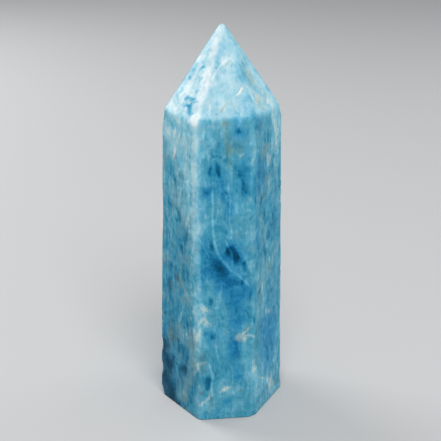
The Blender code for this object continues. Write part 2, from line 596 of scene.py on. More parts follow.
PATCHES: Sequence[Patch] = (
    # Painted highlights at the shoulders of the left and right sides.
    *patches(
        BLOOM, LEFT,
        (4.4, 64.2, 1.6, 3.4, 80, 0.5),
    ),
    *patches(
        BLOOM, RIGHT,
        (1.6, 64.1, 1.6, 4.0, 90, 0.3),
    ),
    *patches(
        DEEP, FRONT,
        (2.3, 61.9, 1.3, 1.5, 0, 0.8), (2.5, 58.9, 1.1, 3.2, 90, 0.35), (-1.8, 54.6, 0.9, 2.6, -13, 1.1),
        (-3.2, 54.3, 0.9, 2.0, 0, 0.8), (-3.6, 52.5, 0.9, 1.7, -30, 0.35), (-4.2, 50.4, 0.9, 2.3, -65, 0.5),
        (2.4, 53.6, 1.2, 3.8, -30, 0.42), (3.5, 50.4, 1.5, 2.3, 0, 0.6), (-2.8, 57.1, 0.6, 0.8, 0, 0.6),
        (-2.2, 57.2, 0.5, 0.8, 0, 0.5), (-1.5, 57.2, 0.6, 0.8, 0, 0.6), (-3.2, 58.0, 0.6, 0.7, 0, 0.5),
        (-2.7, 61.6, 0.8, 0.9, 0, 0.5), (-1.6, 59.8, 0.8, 1.2, 0, 0.5), (-3.5, 59.3, 0.7, 1.0, 0, 0.45),
        (0.0, 47.3, 0.7, 2.4, 0, 0.55), (-0.3, 56.6, 1.4, 2.4, 0, 0.3), (-0.8, 49.5, 0.9, 2.4, 0, 0.35),
        (-3.2, 39.1, 1.0, 2.6, -5, 0.6), (-4.7, 39.0, 0.8, 3.6, -25, 0.3), (-3.3, 36.8, 1.6, 2.8, 80, 0.35),
        (-0.8, 34.3, 1.5, 2.8, -30, 0.5), (-2.1, 35.1, 2.0, 2.2, 0, 0.25), (-0.6, 37.3, 1.2, 2.0, 20, 0.5),
        (0.2, 37.6, 1.2, 1.9, -20, 0.6), (1.4, 37.1, 1.2, 3.7, -9, 0.95), (0.4, 38.4, 0.8, 1.4, 60, 0.5),
        (-0.3, 32.6, 2.8, 3.4, -40, 0.4), (2.6, 31.3, 1.8, 3.4, 60, 0.22), (3.6, 34.3, 1.1, 2.8, -30, 0.75),
        (-4.6, 33.3, 2.4, 2.4, 0, 0.15), (-3.3, 27.4, 1.0, 1.9, 0, 0.75), (-5.7, 28.4, 0.8, 2.6, 0, 0.5),
        (-2.8, 19.7, 1.1, 2.2, 0, 0.65), (-4.3, 20.5, 1.2, 1.6, 0, 0.4), (-1.7, 22.0, 0.8, 1.6, 0, 0.4),
        (-3.8, 8.6, 1.2, 2.9, 8, 1.15), (-5.6, 9.2, 1.0, 1.8, 0, 0.4), (0.0, 4.0, 1.0, 1.3, 0, 0.25),
        (1.8, 17.5, 1.2, 2.6, 0, 0.3), (0.9, 19.6, 1.0, 3.0, -8, 0.35), (-3.4, 31.0, 0.8, 1.6, 0, 0.3),
        (-1.2, 34.4, 3.6, 3.4, -50, 0.3), (1.2, 31.2, 1.8, 4.4, 80, 0.22),
    ),
    *patches(
        AZURE, FRONT,
        (-1.8, 53.0, 4.0, 7.0, -10, 0.5), (-4.2, 38.6, 3.2, 5.2, -20, 0.55),
        (-1.4, 34.4, 5.6, 5.0, -40, 0.9), (1.1, 37.5, 4.2, 5.4, -10, 0.9), (0.6, 30.8, 4.0, 5.4, -60, 0.9),
        (2.2, 29.8, 3.0, 5.4, 80, 0.9), (-4.6, 33.6, 2.8, 2.4, 0, 0.5), (2.2, 28.0, 4.4, 6.0, 0, 0.75),
        (-4.9, 8.8, 1.4, 3.0, 0, 0.3), (0.0, 4.0, 1.6, 1.8, 0, 0.6), (1.4, 16.6, 2.4, 6.6, 0, 1.0),
        (2.0, 10.2, 2.4, 3.4, 0, 0.55), (4.2, 3.6, 1.4, 1.4, 0, 0.3), (2.0, 22.6, 3.0, 4.4, 0, 0.7),
        (-2.8, 19.4, 2.8, 4.4, 0, 0.6), (0.2, 47.0, 3.0, 8.0, 0, 0.55), (3.6, 55.0, 2.0, 8.0, 0, 0.4),
        (3.2, 51.8, 2.6, 5.4, -10, 0.3), (2.2, 61.4, 2.6, 3.6, 0, 0.6), (-2.2, 2.2, 1.6, 2.2, 0, 0.4),
        (-5.0, 46.5, 2.0, 4.0, 0, 0.35), (-4.1, 50.2, 2.2, 2.4, -50, 0.8),
    ),
    *patches(
        PALE, FRONT,
        (0.3, 51.0, 1.5, 1.6, 0, 0.6), (-4.6, 60.2, 3.6, 8.0, 0, 0.55), (-0.8, 62.2, 2.4, 3.6, 0, 0.3),
        (-2.9, 43.4, 2.6, 4.0, 0, 0.35), (3.0, 44.2, 3.0, 5.0, 0, 0.25), (0.5, 41.6, 1.2, 3.2, 25, 0.6),
        (-2.0, 29.0, 3.0, 3.0, 0, 0.2), (5.0, 28.6, 1.6, 4.0, 0, 0.25), (-4.7, 25.0, 3.6, 3.6, 0, 0.55),
        (-4.2, 21.8, 2.8, 2.0, 0, 0.6), (-5.6, 12.6, 2.6, 2.6, 0, 0.5), (-4.8, 4.2, 1.6, 4.0, -40, 0.4),
        (-1.0, 25.0, 2.6, 3.4, 0, 0.4), (4.0, 16.4, 2.6, 5.0, 0, 0.6), (4.3, 11.0, 2.6, 5.0, 0, 0.6),
        (-1.6, 9.4, 2.2, 2.6, 0, 0.3), (-0.6, 7.0, 1.8, 3.4, -55, 0.5), (-6.0, 21.5, 1.8, 6.0, 0, 0.5),
        (-2.4, 5.8, 2.4, 1.8, 40, 0.5), (-5.0, 2.8, 2.6, 3.4, 0, 0.6), (-5.0, 1.4, 3.0, 2.6, 0, 0.45),
        (1.8, 1.6, 3.4, 1.6, 90, 0.35), (-4.4, 18.0, 2.4, 3.0, 0, 0.5), (5.2, 38.4, 2.4, 8.0, 0, 0.35),
        (2.2, 33.8, 1.4, 3.0, -50, 0.45), (-4.4, 45.0, 2.4, 10.0, 0, 0.3), (-3.8, 58.0, 2.6, 5.0, 0, 0.3),
        (-4.6, 31.4, 2.6, 2.0, 0, 0.4),
    ),
    *patches(
        CREAM, FRONT,
        (2.5, 19.1, 1.5, 1.7, 30, 1.2), (3.2, 18.6, 1.3, 1.5, 0, 0.7), (5.3, 19.2, 0.9, 0.7, 0, 0.8),
        (-4.8, 25.4, 2.4, 1.8, 0, 0.38), (-3.9, 22.2, 1.6, 1.2, 0, 0.7), (4.4, 48.4, 0.7, 3.2, 0, 0.6),
        (-5.6, 16.2, 0.9, 1.0, 0, 0.6), (-5.8, 19.4, 0.9, 3.0, 0, 0.5), (4.9, 55.9, 1.0, 1.2, 0, 0.4),
        (5.3, 35.0, 0.9, 2.8, 0, 0.5), (6.0, 24.4, 0.8, 2.6, 20, 0.4),
    ),
    *patches(
        TAN, FRONT,
        (-0.5, 63.4, 0.8, 1.3, 0, 0.8), (0.6, 58.6, 1.0, 1.5, 0, 0.7), (0.2, 60.4, 1.6, 9.0, 0, 0.5),
        (2.0, 59.0, 3.6, 3.0, 0, 0.45), (-5.2, 12.0, 3.0, 11.0, 0, 0.5), (-3.0, 4.4, 2.0, 4.0, 0, 0.35),
        (0.1, 56.3, 0.8, 4.4, 0, 0.4), (3.0, 58.2, 1.1, 0.7, 0, 0.5), (1.6, 57.9, 0.6, 0.6, 0, 0.6),
        (2.2, 41.2, 0.8, 1.7, 0, 0.75), (4.7, 37.7, 0.7, 1.2, 0, 0.7), (3.9, 38.5, 0.6, 1.0, 0, 0.5),
        (-4.4, 22.7, 0.8, 1.0, 30, 0.7), (-5.7, 15.2, 0.7, 1.2, 0, 0.9), (-5.5, 6.4, 0.8, 0.9, 0, 1.0),
        (-3.3, 4.2, 0.6, 3.6, 0, 0.8), (2.7, 6.7, 0.8, 1.2, 0, 0.7), (3.7, 7.2, 0.6, 1.2, 0, 0.6),
        (4.9, 2.9, 1.0, 0.9, 0, 0.7), (3.6, 6.0, 0.6, 1.0, 0, 0.4), (4.6, 21.4, 0.6, 1.0, 50, 0.7),
        (1.7, 45.0, 0.6, 1.0, 0, 0.4), (-4.6, 62.6, 1.0, 1.0, 0, 0.4), (5.4, 36.4, 0.6, 1.2, 0, 0.5),
    ),
    *patches(
        DEEP, LEFT,
        (-0.9, 50.4, 1.0, 3.6, -13, 0.75), (2.4, 49.1, 0.7, 1.4, 0, 0.65), (-3.4, 45.8, 1.3, 2.2, 0, 0.5),
        (-0.5, 45.9, 1.1, 2.0, 0, 0.2), (0.1, 44.1, 1.5, 2.4, 0, 0.95), (-0.1, 30.4, 1.2, 2.2, 0, 0.45),
        (2.2, 39.8, 1.2, 3.6, 5, 1.0), (0.7, 37.4, 1.1, 2.2, -40, 0.7), (1.5, 34.1, 3.0, 5.0, 0, 0.35),
        (-3.6, 27.8, 2.2, 4.4, -20, 0.6), (2.6, 31.6, 0.8, 2.4, 0, 0.5), (3.0, 21.1, 1.3, 2.2, 0, 0.7),
        (-4.5, 13.4, 1.8, 2.8, 0, 0.7), (-3.8, 9.2, 1.5, 2.6, 0, 0.25), (1.4, 9.9, 1.8, 2.2, 10, 1.0),
        # The wide patches at (-5.6, 3.4), (-2.4, 0.5), (-5.6, 9.4), (-2.9, 2.0) and (-6.0, 12.0) are painted
        # shade that darkens the lower left corner and the foot's edge, over the stone's dark windows.
        (1.8, 12.2, 1.0, 2.2, 0, 0.3), (0.6, 14.7, 1.8, 2.6, 0, 0.35), (-5.6, 3.4, 4.4, 10.0, 0, 0.75),
        (-2.4, 0.5, 2.6, 8.0, 90, 0.7), (-5.6, 9.4, 2.4, 8.0, 0, 0.4), (-2.9, 2.0, 2.0, 3.0, 0, 0.4),
        (-6.0, 12.0, 2.4, 8.0, 0, 0.4), (-2.2, 20.0, 2.0, 3.0, 0, 0.25), (-2.2, 10.4, 3.0, 6.0, 0, 0.35),
        (0.4, 53.6, 0.7, 2.0, 0, 0.25),
    ),
    *patches(
        AZURE, LEFT,
        (-2.4, 58.4, 1.0, 2.8, 0, 0.5), (-3.9, 52.5, 1.8, 3.0, 0, 0.3), (-3.4, 46.0, 3.6, 9.0, 0, 0.4),
        (-3.2, 35.0, 3.6, 12.0, 0, 0.5), (-3.6, 22.0, 3.0, 8.0, 0, 0.4), (1.2, 39.0, 3.4, 8.0, -10, 0.5),
        # The wide patch at (-3.0, 9.0) is partly painted shade that darkens the lower left, and partly bluer
        # stone.
        (-3.0, 27.0, 4.4, 8.0, 0, 0.5), (1.4, 12.6, 3.4, 8.0, 0, 0.6), (-3.0, 9.0, 7.0, 14.0, 0, 0.7),
        (2.2, 5.2, 2.0, 2.2, 0, 0.4), (0.6, 33.0, 5.0, 9.0, 0, 0.4),
    ),
    *patches(
        PALE, LEFT,
        # The wide patch at (-0.5, 62.0) is partly painted light at the top of the side, and partly milky
        # cloud.
        (-0.5, 62.0, 9.0, 8.0, 0, 0.85), (4.0, 57.5, 2.6, 9.0, 0, 0.5), (-1.2, 62.2, 4.0, 3.4, 0, 0.5),
        (1.0, 56.0, 5.0, 6.0, 0, 0.55), (1.9, 56.8, 1.8, 2.4, 0, 0.6), (2.2, 48.6, 3.4, 6.0, 0, 0.6),
        (-1.8, 43.4, 2.4, 4.0, 0, 0.4), (-3.2, 50.4, 3.0, 3.6, 0, 0.4), (-2.0, 35.4, 2.4, 3.0, 0, 0.4),
        (-4.4, 37.0, 2.4, 8.0, 0, 0.3), (4.8, 26.0, 2.0, 6.0, 0, 0.5), (0.6, 24.0, 2.6, 6.0, 0, 0.4),
        (0.4, 5.6, 1.4, 3.0, 0, 0.3), (2.2, 4.4, 3.4, 6.4, 0, 0.35), (4.4, 2.6, 3.0, 4.0, 0, 0.3),
        (2.9, 52.6, 1.2, 3.0, 0, 0.4), (5.0, 59.0, 3.8, 20.0, 0, 0.75), (5.0, 42.0, 3.4, 18.0, 0, 0.75),
        (5.2, 26.0, 2.4, 10.0, 0, 0.25), (5.4, 9.0, 2.4, 12.0, 0, 0.2),
    ),
    *patches(
        CREAM, LEFT,
        (5.2, 19.6, 1.1, 2.4, 10, 0.6), (3.7, 23.2, 0.7, 1.4, -25, 0.7), (0.7, 22.1, 0.7, 2.2, 0, 0.7),
        (4.6, 24.8, 1.2, 2.6, 0, 0.5),
    ),
    *patches(
        TAN, LEFT,
        (2.0, 4.4, 3.6, 7.4, 0, 0.6), (-0.1, 30.2, 1.1, 2.6, -25, 0.9), (-2.6, 17.4, 3.6, 7.4, 0, 0.65),
        (1.4, 27.0, 3.6, 9.0, 0, 0.3), (-3.3, 33.1, 1.0, 1.2, 0, 0.5), (-3.1, 23.3, 0.8, 1.8, 0, 0.45),
        (-2.7, 25.3, 0.8, 1.8, 0, 0.45), (-1.4, 15.8, 1.1, 1.4, 0, 0.6), (-3.1, 16.8, 1.4, 6.0, 0, 0.45),
        (4.4, 12.3, 0.7, 2.2, 0, 0.6), (-1.6, 20.6, 1.0, 3.2, 0, 0.4), (-4.2, 61.0, 0.7, 1.6, 0, 0.5),
        (0.2, 26.8, 0.8, 2.2, 0, 0.35),
    ),
    *patches(
        AZURE, RIGHT,
        (-2.2, 52.0, 4.4, 8.0, 0, 0.9), (3.6, 55.2, 2.2, 2.6, 0, 0.25), (4.0, 44.6, 2.6, 6.0, 0, 0.5),
        (-0.4, 35.3, 1.5, 4.4, 0, 0.75), (1.6, 15.6, 5.2, 10.0, 0, 1.0), (3.0, 41.0, 3.0, 4.0, 0, 0.35),
        (-1.9, 13.2, 1.4, 1.8, 0, 0.7), (1.6, 24.6, 5.0, 4.0, 0, 0.5), (-2.6, 62.4, 4.0, 3.0, 0, 0.5),
        (0.4, 18.6, 4.4, 6.0, 0, 0.8), (0.4, 9.0, 3.4, 5.0, 0, 0.5), (-3.0, 38.6, 3.0, 6.0, 0, 0.5),
        (1.8, 29.6, 3.0, 4.0, 0, 0.4),
    ),
    *patches(
        DEEP, RIGHT,
        (-3.0, 52.0, 2.2, 4.0, 0, 0.3), (-2.1, 47.0, 0.9, 2.2, 20, 0.65), (-3.2, 27.9, 0.8, 2.2, 25, 0.65),
        (-0.4, 35.6, 0.8, 3.2, 0, 0.15), (-0.4, 20.2, 2.4, 3.0, 0, 0.35), (1.2, 14.6, 1.6, 3.6, 0, 0.15),
        (-2.8, 10.6, 0.5, 2.6, 0, 0.5), (3.8, 45.6, 1.2, 2.4, 0, 0.15),
    ),
    *patches(
        PALE, RIGHT,
        (4.0, 60.6, 3.8, 8.0, -15, 1.0), (0.2, 36.8, 1.4, 2.6, 0, 0.8), (0.4, 40.2, 2.6, 3.6, 0, 0.4),
        (4.0, 56.5, 2.4, 5.0, 0, 0.5), (4.8, 55.5, 2.0, 9.0, 0, 0.6), (-2.4, 36.2, 3.0, 2.4, 0, 0.4),
        (2.2, 33.0, 3.0, 4.0, 0, 0.5), (2.7, 28.2, 1.6, 3.0, 0, 0.6), (4.6, 9.0, 2.4, 9.0, 0, 0.6),
        (0.2, 5.0, 4.0, 3.6, 0, 0.6), (2.4, 50.0, 2.4, 6.0, 0, 0.35), (-0.2, 25.0, 2.4, 4.6, 0, 0.65),
        (-1.2, 9.6, 2.4, 5.0, 0, 0.35), (-2.0, 30.0, 3.0, 4.0, 0, 0.4), (-5.0, 59.0, 2.0, 7.0, 0, 0.35),
        (1.0, 44.6, 3.0, 4.0, 0, 0.3), (-4.6, 7.0, 3.2, 7.0, 0, 0.6), (3.4, 44.4, 3.0, 4.0, 0, 0.4),
    ),
    *patches(
        CREAM, RIGHT,
        (2.8, 62.2, 1.3, 2.4, -15, 0.55), (3.9, 60.2, 1.3, 3.0, -20, 0.85), (1.5, 54.9, 2.2, 1.7, 30, 0.8),
        (1.7, 30.6, 1.0, 3.4, 0, 0.6), (-5.2, 11.3, 1.3, 3.4, 0, 0.8), (2.0, 3.7, 2.8, 3.6, 0, 1.0),
        (5.0, 57.2, 1.1, 4.0, 0, 0.75), (5.3, 10.0, 0.7, 9.0, 0, 0.45), (0.9, 33.6, 0.8, 2.4, -20, 0.4),
    ),
    *patches(
        TAN, RIGHT,
        (0.9, 57.8, 1.2, 1.6, 0, 0.85), (-0.9, 56.2, 3.4, 2.0, 100, 0.7), (4.0, 60.6, 0.8, 2.4, 0, 0.7),
        (0.3, 50.7, 0.8, 3.4, 0, 0.7), (-1.9, 47.4, 1.0, 2.0, 40, 1.0), (1.8, 54.2, 1.0, 1.2, 0, 0.5),
        (3.8, 3.7, 1.0, 3.0, 0, 0.45), (5.3, 12.0, 0.6, 4.0, 0, 0.5), (-5.9, 38.0, 0.7, 1.4, 0, 0.6),
        (1.4, 31.4, 0.7, 2.0, -25, 0.6), (-5.4, 35.4, 0.7, 1.4, 0, 0.5), (3.0, 64.0, 0.9, 1.4, 0, 0.5),
        (-3.0, 26.5, 1.4, 3.6, 30, 0.5), (0.6, 32.4, 1.6, 5.0, -25, 0.5), (-1.6, 38.2, 1.2, 6.0, 0, 0.4),
        (2.8, 35.2, 1.2, 5.0, 0, 0.4), (-4.6, 20.0, 1.2, 5.0, 0, 0.4), (4.4, 25.0, 1.4, 6.0, 0, 0.4),
        (4.6, 5.6, 1.6, 6.0, 0, 0.45), (-1.0, 43.0, 1.6, 4.0, 0, 0.35),
    ),
    *patches(
        DEEP, LEFT,  # the tip facet
        (0.9, 72.5, 0.8, 1.5, 60, 0.75), (0.3, 70.6, 0.9, 1.1, 0, 0.6), (2.9, 70.0, 0.9, 1.5, -25, 0.6),
        (0.2, 71.5, 0.6, 0.7, 0, 0.5), (2.5, 71.9, 0.6, 0.7, 0, 0.5), (-1.7, 70.4, 0.8, 1.0, 0, 0.75),
        (1.9, 68.7, 0.8, 1.2, 60, 0.6), (0.1, 67.2, 0.9, 1.3, 40, 0.9), (1.4, 67.3, 0.7, 2.2, 80, 0.9),
        (3.3, 67.0, 0.8, 1.4, 60, 0.75), (0.0, 66.0, 0.8, 1.0, 0, 0.6), (1.3, 66.1, 0.6, 1.6, 70, 0.8),
        (2.4, 65.6, 1.1, 2.2, -30, 1.0), (3.5, 65.2, 0.8, 0.9, 0, 0.5), (0.6, 64.9, 0.8, 1.0, 0, 0.7),
        (-2.2, 68.2, 0.9, 1.4, 0, 0.6), (1.0, 69.6, 0.5, 1.0, 70, 0.5), (3.6, 71.2, 0.5, 0.9, -20, 0.5),
        (-0.6, 69.2, 0.5, 1.2, 60, 0.5), (2.6, 67.6, 0.5, 1.2, 75, 0.6), (-0.8, 64.9, 0.6, 1.2, 60, 0.5),
        (-1.4, 66.2, 0.8, 1.2, 0, 0.5),
    ),
    *patches(
        AZURE, LEFT,
        (1.6, 66.4, 4.4, 3.0, 80, 0.35), (0.9, 76.6, 3.4, 5.4, 0, 1.0),
    ),
    *patches(
        AZURE, FRONT,  # the tip facet
        (-1.1, 73.8, 1.0, 2.6, -10, 1.0), (0.1, 75.9, 1.6, 2.8, 0, 0.5), (-1.8, 66.8, 0.8, 1.0, 0, 0.9),
        (-1.5, 71.4, 1.0, 1.6, 0, 0.7), (4.6, 66.0, 2.2, 3.0, -20, 1.0), (3.2, 71.6, 1.4, 2.4, -25, 1.0),
        (-3.4, 65.6, 3.0, 1.6, 0, 0.5), (1.6, 64.9, 3.0, 1.2, 90, 0.7), (2.4, 72.6, 1.0, 1.6, -20, 0.8),
        (-2.6, 69.0, 0.8, 2.4, 15, 0.5),
    ),
    *patches(
        AZURE, RIGHT,  # the tip facet
        (-2.2, 71.4, 1.8, 2.6, 0, 0.9), (-4.0, 66.4, 2.4, 3.8, 0, 1.0), (-0.6, 73.3, 2.2, 3.2, 0, 0.4),
    ),
    *patches(
        DEEP, RIGHT,  # the tip facet
        (-0.6, 71.0, 3.0, 4.0, 0, 0.5), (-2.4, 69.8, 2.0, 2.0, 0, 0.15),
    ),
    *patches(
        TAN, RIGHT,
        (0.2, 71.4, 2.4, 5.0, 0, 0.55), (0.2, 69.0, 6.0, 12.0, 0, 0.35), (-0.6, 66.5, 1.8, 1.8, 0, 0.7),
        (2.1, 66.5, 1.2, 2.4, 20, 0.6), (0.3, 64.9, 1.2, 1.2, 0, 0.6),
    ),
    *patches(
        CREAM, RIGHT,
        (-1.0, 67.0, 2.2, 2.2, 0, 0.6), (2.6, 65.6, 1.6, 2.0, 0, 0.6),
    ),
)

VEINS: Sequence[Vein] = (
    *veins(
        VEIN, FRONT,
        (0.5, 0.85, ((-2.8, 51.4), (-2.7, 46.8), (-2.8, 44.3), (-2.7, 41.5), (-2.3, 39.2), (-1.6, 37.3),
                     (-0.6, 35.7), (0.5, 34.2), (2.3, 32.5), (3.8, 31.1), (4.8, 30.0))),
        (0.35, 0.6, ((-5.8, 41.5), (-4.3, 38.6), (-2.9, 35.7))),
        (0.4, 0.6, ((-6.6, 34.7), (-5.0, 33.2), (-3.3, 32.0))),
        (0.3, 0.35, ((-4.6, 47.4), (-4.1, 44.4), (-3.7, 41.8), (-3.4, 40.0))),
        (0.3, 0.3, ((-6.2, 29.8), (-4.8, 30.6), (-3.2, 30.2), (-1.8, 29.0))),
        (0.35, 0.4, ((-5.2, 37.4), (-4.0, 36.2), (-3.0, 34.4))),
        (0.3, 0.4, ((-2.4, 33.4), (-1.0, 32.4), (0.6, 32.2))),
        (0.3, 0.4, ((0.4, 33.2), (1.0, 31.8), (1.2, 29.8))),
        (0.3, 0.35, ((-4.8, 30.2), (-3.6, 28.6), (-2.2, 28.0))),
        (0.3, 0.35, ((-1.8, 27.2), (-0.6, 26.0), (0.2, 24.2))),
        (0.3, 0.35, ((1.6, 26.8), (2.6, 25.2), (3.2, 22.6))),
        (0.3, 0.3, ((-5.4, 55.4), (-4.8, 52.4), (-4.9, 49.0))),
        (0.3, 0.3, ((3.0, 44.6), (3.9, 42.6), (4.1, 40.2))),
        (0.3, 0.35, ((-4.9, 20.8), (-4.4, 18.6), (-3.6, 16.8))),
        (0.3, 0.3, ((0.8, 14.8), (0.5, 12.2), (0.9, 9.8))),
        (0.4, 0.6, ((0.5, 49.8), (0.4, 46.6), (0.5, 43.6), (1.4, 41.0))),
        (0.45, 0.42, ((1.4, 41.0), (2.5, 38.6), (3.3, 36.6), (4.5, 34.4), (5.4, 32.0))),
        (0.5, 0.5, ((-2.4, 44.6), (-0.7, 44.0), (0.2, 42.4), (1.4, 40.8))),
        (0.6, 0.4, ((-6.1, 35.8), (-5.0, 35.4), (-3.9, 34.6))),
        (0.4, 0.6, ((-2.1, 21.4), (-2.2, 18.4), (-2.1, 16.0), (-1.8, 13.5))),
        (0.45, 1.0, ((-4.1, 14.1), (-3.5, 12.4), (-3.2, 9.8), (-3.0, 5.0))),
        (0.5, 0.5, ((-5.0, 45.0), (-4.4, 43.0), (-5.0, 40.6))),
        (0.35, 0.75, ((-0.9, 41.2), (0.1, 39.2), (0.8, 37.4), (0.9, 35.4), (1.4, 34.2))),
        (0.5, 0.6, ((-3.0, 67.0), (-3.2, 64.6))),
        (0.5, 0.55, ((3.4, 69.6), (2.1, 68.3), (0.9, 67.5), (-0.2, 66.6), (-0.6, 65.4))),
        (0.5, 0.65, ((-2.9, 69.6), (-1.9, 71.6), (-0.4, 73.2), (1.3, 74.4), (2.2, 73.0))),
        (0.5, 0.4, ((0.4, 71.6), (1.2, 70.0), (1.4, 68.6))),
        (0.4, 0.35, ((-1.0, 68.6), (-1.4, 66.6), (-1.2, 65.0))),
    ),
    *veins(
        CREAM, FRONT,
        (0.6, 0.8, ((3.5, 58.0), (2.2, 56.7))),
        (0.5, 0.7, ((-4.7, 45.0), (-3.8, 45.9))),
        (0.7, 0.9, ((-6.4, 21.4), (-5.4, 22.8), (-4.6, 23.4), (-3.7, 22.3))),
        (0.5, 0.6, ((-6.2, 24.8), (-5.2, 25.8), (-4.0, 25.2), (-3.2, 26.2))),
        (0.4, 0.5, ((-5.8, 27.0), (-4.8, 26.4), (-3.6, 24.4))),
        (0.7, 0.6, ((-6.8, 12.4), (-5.6, 13.4), (-4.0, 14.2))),
        (0.6, 0.6, ((-6.4, 13.8), (-6.0, 12.4), (-5.2, 11.4))),
        (0.8, 0.9, ((-1.6, 6.2), (-0.6, 7.2), (0.9, 7.7))),
        (0.7, 0.85, ((-6.3, 2.8), (-5.2, 3.9), (-3.9, 5.2), (-2.9, 6.6))),
        (0.5, 0.8, ((3.2, 19.5), (5.5, 19.4))),
        (0.7, 0.5, ((5.4, 15.0), (5.8, 13.6), (5.6, 12.2))),
        (0.6, 0.8, ((-6.0, 19.6), (-5.6, 21.2), (-4.6, 22.0))),
        (0.5, 0.4, ((-4.4, 26.8), (-3.0, 26.4), (-1.6, 25.2))),
        (0.6, 0.9, ((2.4, 19.1), (3.4, 20.2), (5.0, 21.6))),
        (0.6, 1.0, ((1.9, 68.1), (2.9, 69.1), (3.8, 70.2))),
    ),
    *veins(
        DEEP, FRONT,
        (1.1, 0.22, ((0.0, 57.8), (0.9, 56.0), (1.6, 54.4), (2.9, 52.6), (3.5, 50.4))),
        (0.35, 0.35, ((-0.1, 63.2), (-0.2, 60.4), (0.0, 57.8), (-0.2, 55.0))),
        (0.35, 0.35, ((4.3, 30.6), (4.5, 27.0), (4.4, 23.4))),
        (0.35, 0.3, ((3.2, 48.6), (3.4, 45.8), (4.2, 42.8))),
    ),
    *veins(
        TAN, FRONT,
        (0.4, 0.7, ((2.9, 19.8), (4.0, 20.9), (5.1, 21.8))),
        (0.35, 0.6, ((-0.4, 72.6), (1.1, 73.8), (1.7, 74.6))),
        (0.35, 0.5, ((1.2, 68.2), (2.0, 69.2))),
        (0.45, 1.0, ((-1.5, 65.1), (-0.4, 66.4), (1.0, 67.8))),
    ),
    *veins(
        TAN, LEFT,
        (0.36, 1.0, ((1.6, 62.2), (0.9, 60.3), (0.0, 57.7))),
        (0.34, 0.85, ((0.3, 58.6), (-0.7, 56.4), (-1.5, 54.6))),
        (0.4, 0.8, ((0.9, 54.1), (-0.2, 52.4))),
        (0.4, 0.7, ((3.3, 45.0), (2.9, 43.4), (2.3, 42.1))),
    ),
    *veins(
        CREAM, LEFT,
        (0.4, 0.62, ((1.3, 62.2), (0.5, 60.3), (-0.5, 57.6))),
        (0.4, 0.6, ((-0.3, 58.4), (-1.2, 56.2), (-2.0, 54.0))),
        (0.6, 0.8, ((-0.3, 62.5), (-1.0, 60.7), (-1.3, 59.4))),
        (0.5, 0.8, ((0.6, 54.2), (-0.5, 52.2))),
        (0.6, 0.7, ((3.5, 45.2), (2.6, 43.4), (2.0, 41.8))),
        (0.7, 0.6, ((2.4, 19.3), (1.3, 17.0))),
        (0.8, 0.8, ((6.6, 13.4), (5.7, 11.9), (4.6, 10.0))),
        (0.7, 0.9, ((5.9, 20.8), (5.4, 18.6), (5.2, 15.4))),
        (0.5, 0.7, ((4.9, 21.8), (4.5, 19.6), (4.6, 17.6))),
    ),
    *veins(
        CREAM, RIGHT,
        (0.8, 0.65, ((2.3, 55.9), (1.2, 54.0), (0.1, 52.3))),
        (0.6, 0.7, ((1.2, 50.6), (1.2, 47.8))),
        (0.6, 0.6, ((-1.5, 41.2), (-1.5, 36.3))),
        (0.6, 0.7, ((-1.6, 30.0), (-1.6, 27.5))),
        (1.2, 0.6, ((-1.0, 23.0), (3.7, 20.2))),
        (0.8, 0.5, ((-5.0, 9.6), (-1.0, 6.6), (2.0, 3.0))),
        (0.5, 0.7, ((-2.4, 69.8), (-1.8, 68.9))),
    ),
    *veins(
        TAN, RIGHT,
        (0.45, 0.9, ((-2.9, 28.4), (-2.2, 26.4), (-1.6, 24.2))),
        (0.4, 0.7, ((0.6, 34.4), (1.5, 32.2), (2.3, 29.8))),
        (0.4, 0.6, ((-1.2, 39.6), (-0.9, 37.0), (-1.3, 34.6))),
        (0.5, 1.0, ((-3.6, 23.0), (-3.6, 18.4), (-3.9, 14.2), (-3.9, 9.8))),
        (0.45, 0.8, ((0.5, 52.2), (0.2, 50.2), (-0.6, 48.4), (-1.9, 46.6))),
        (0.4, 0.6, ((-2.4, 46.0), (-3.4, 43.4), (-3.8, 41.2))),
    ),
)


@dataclass(frozen=True)
class Scatter:
    """How many patches of a kind a hidden side gets, and how large and strong they are."""

    kind: Field
    count: int
    widths: Pair
    lengths: Pair
    strength: float


@dataclass(frozen=True)
class EdgeHighlight:
    """A painted highlight along an upright edge and the tip ridge above it, with its strength at four places.
    """

    corner: Corner
    width: float
    at_foot: float
    under_shoulder: float
    over_shoulder: float
    at_nose: float


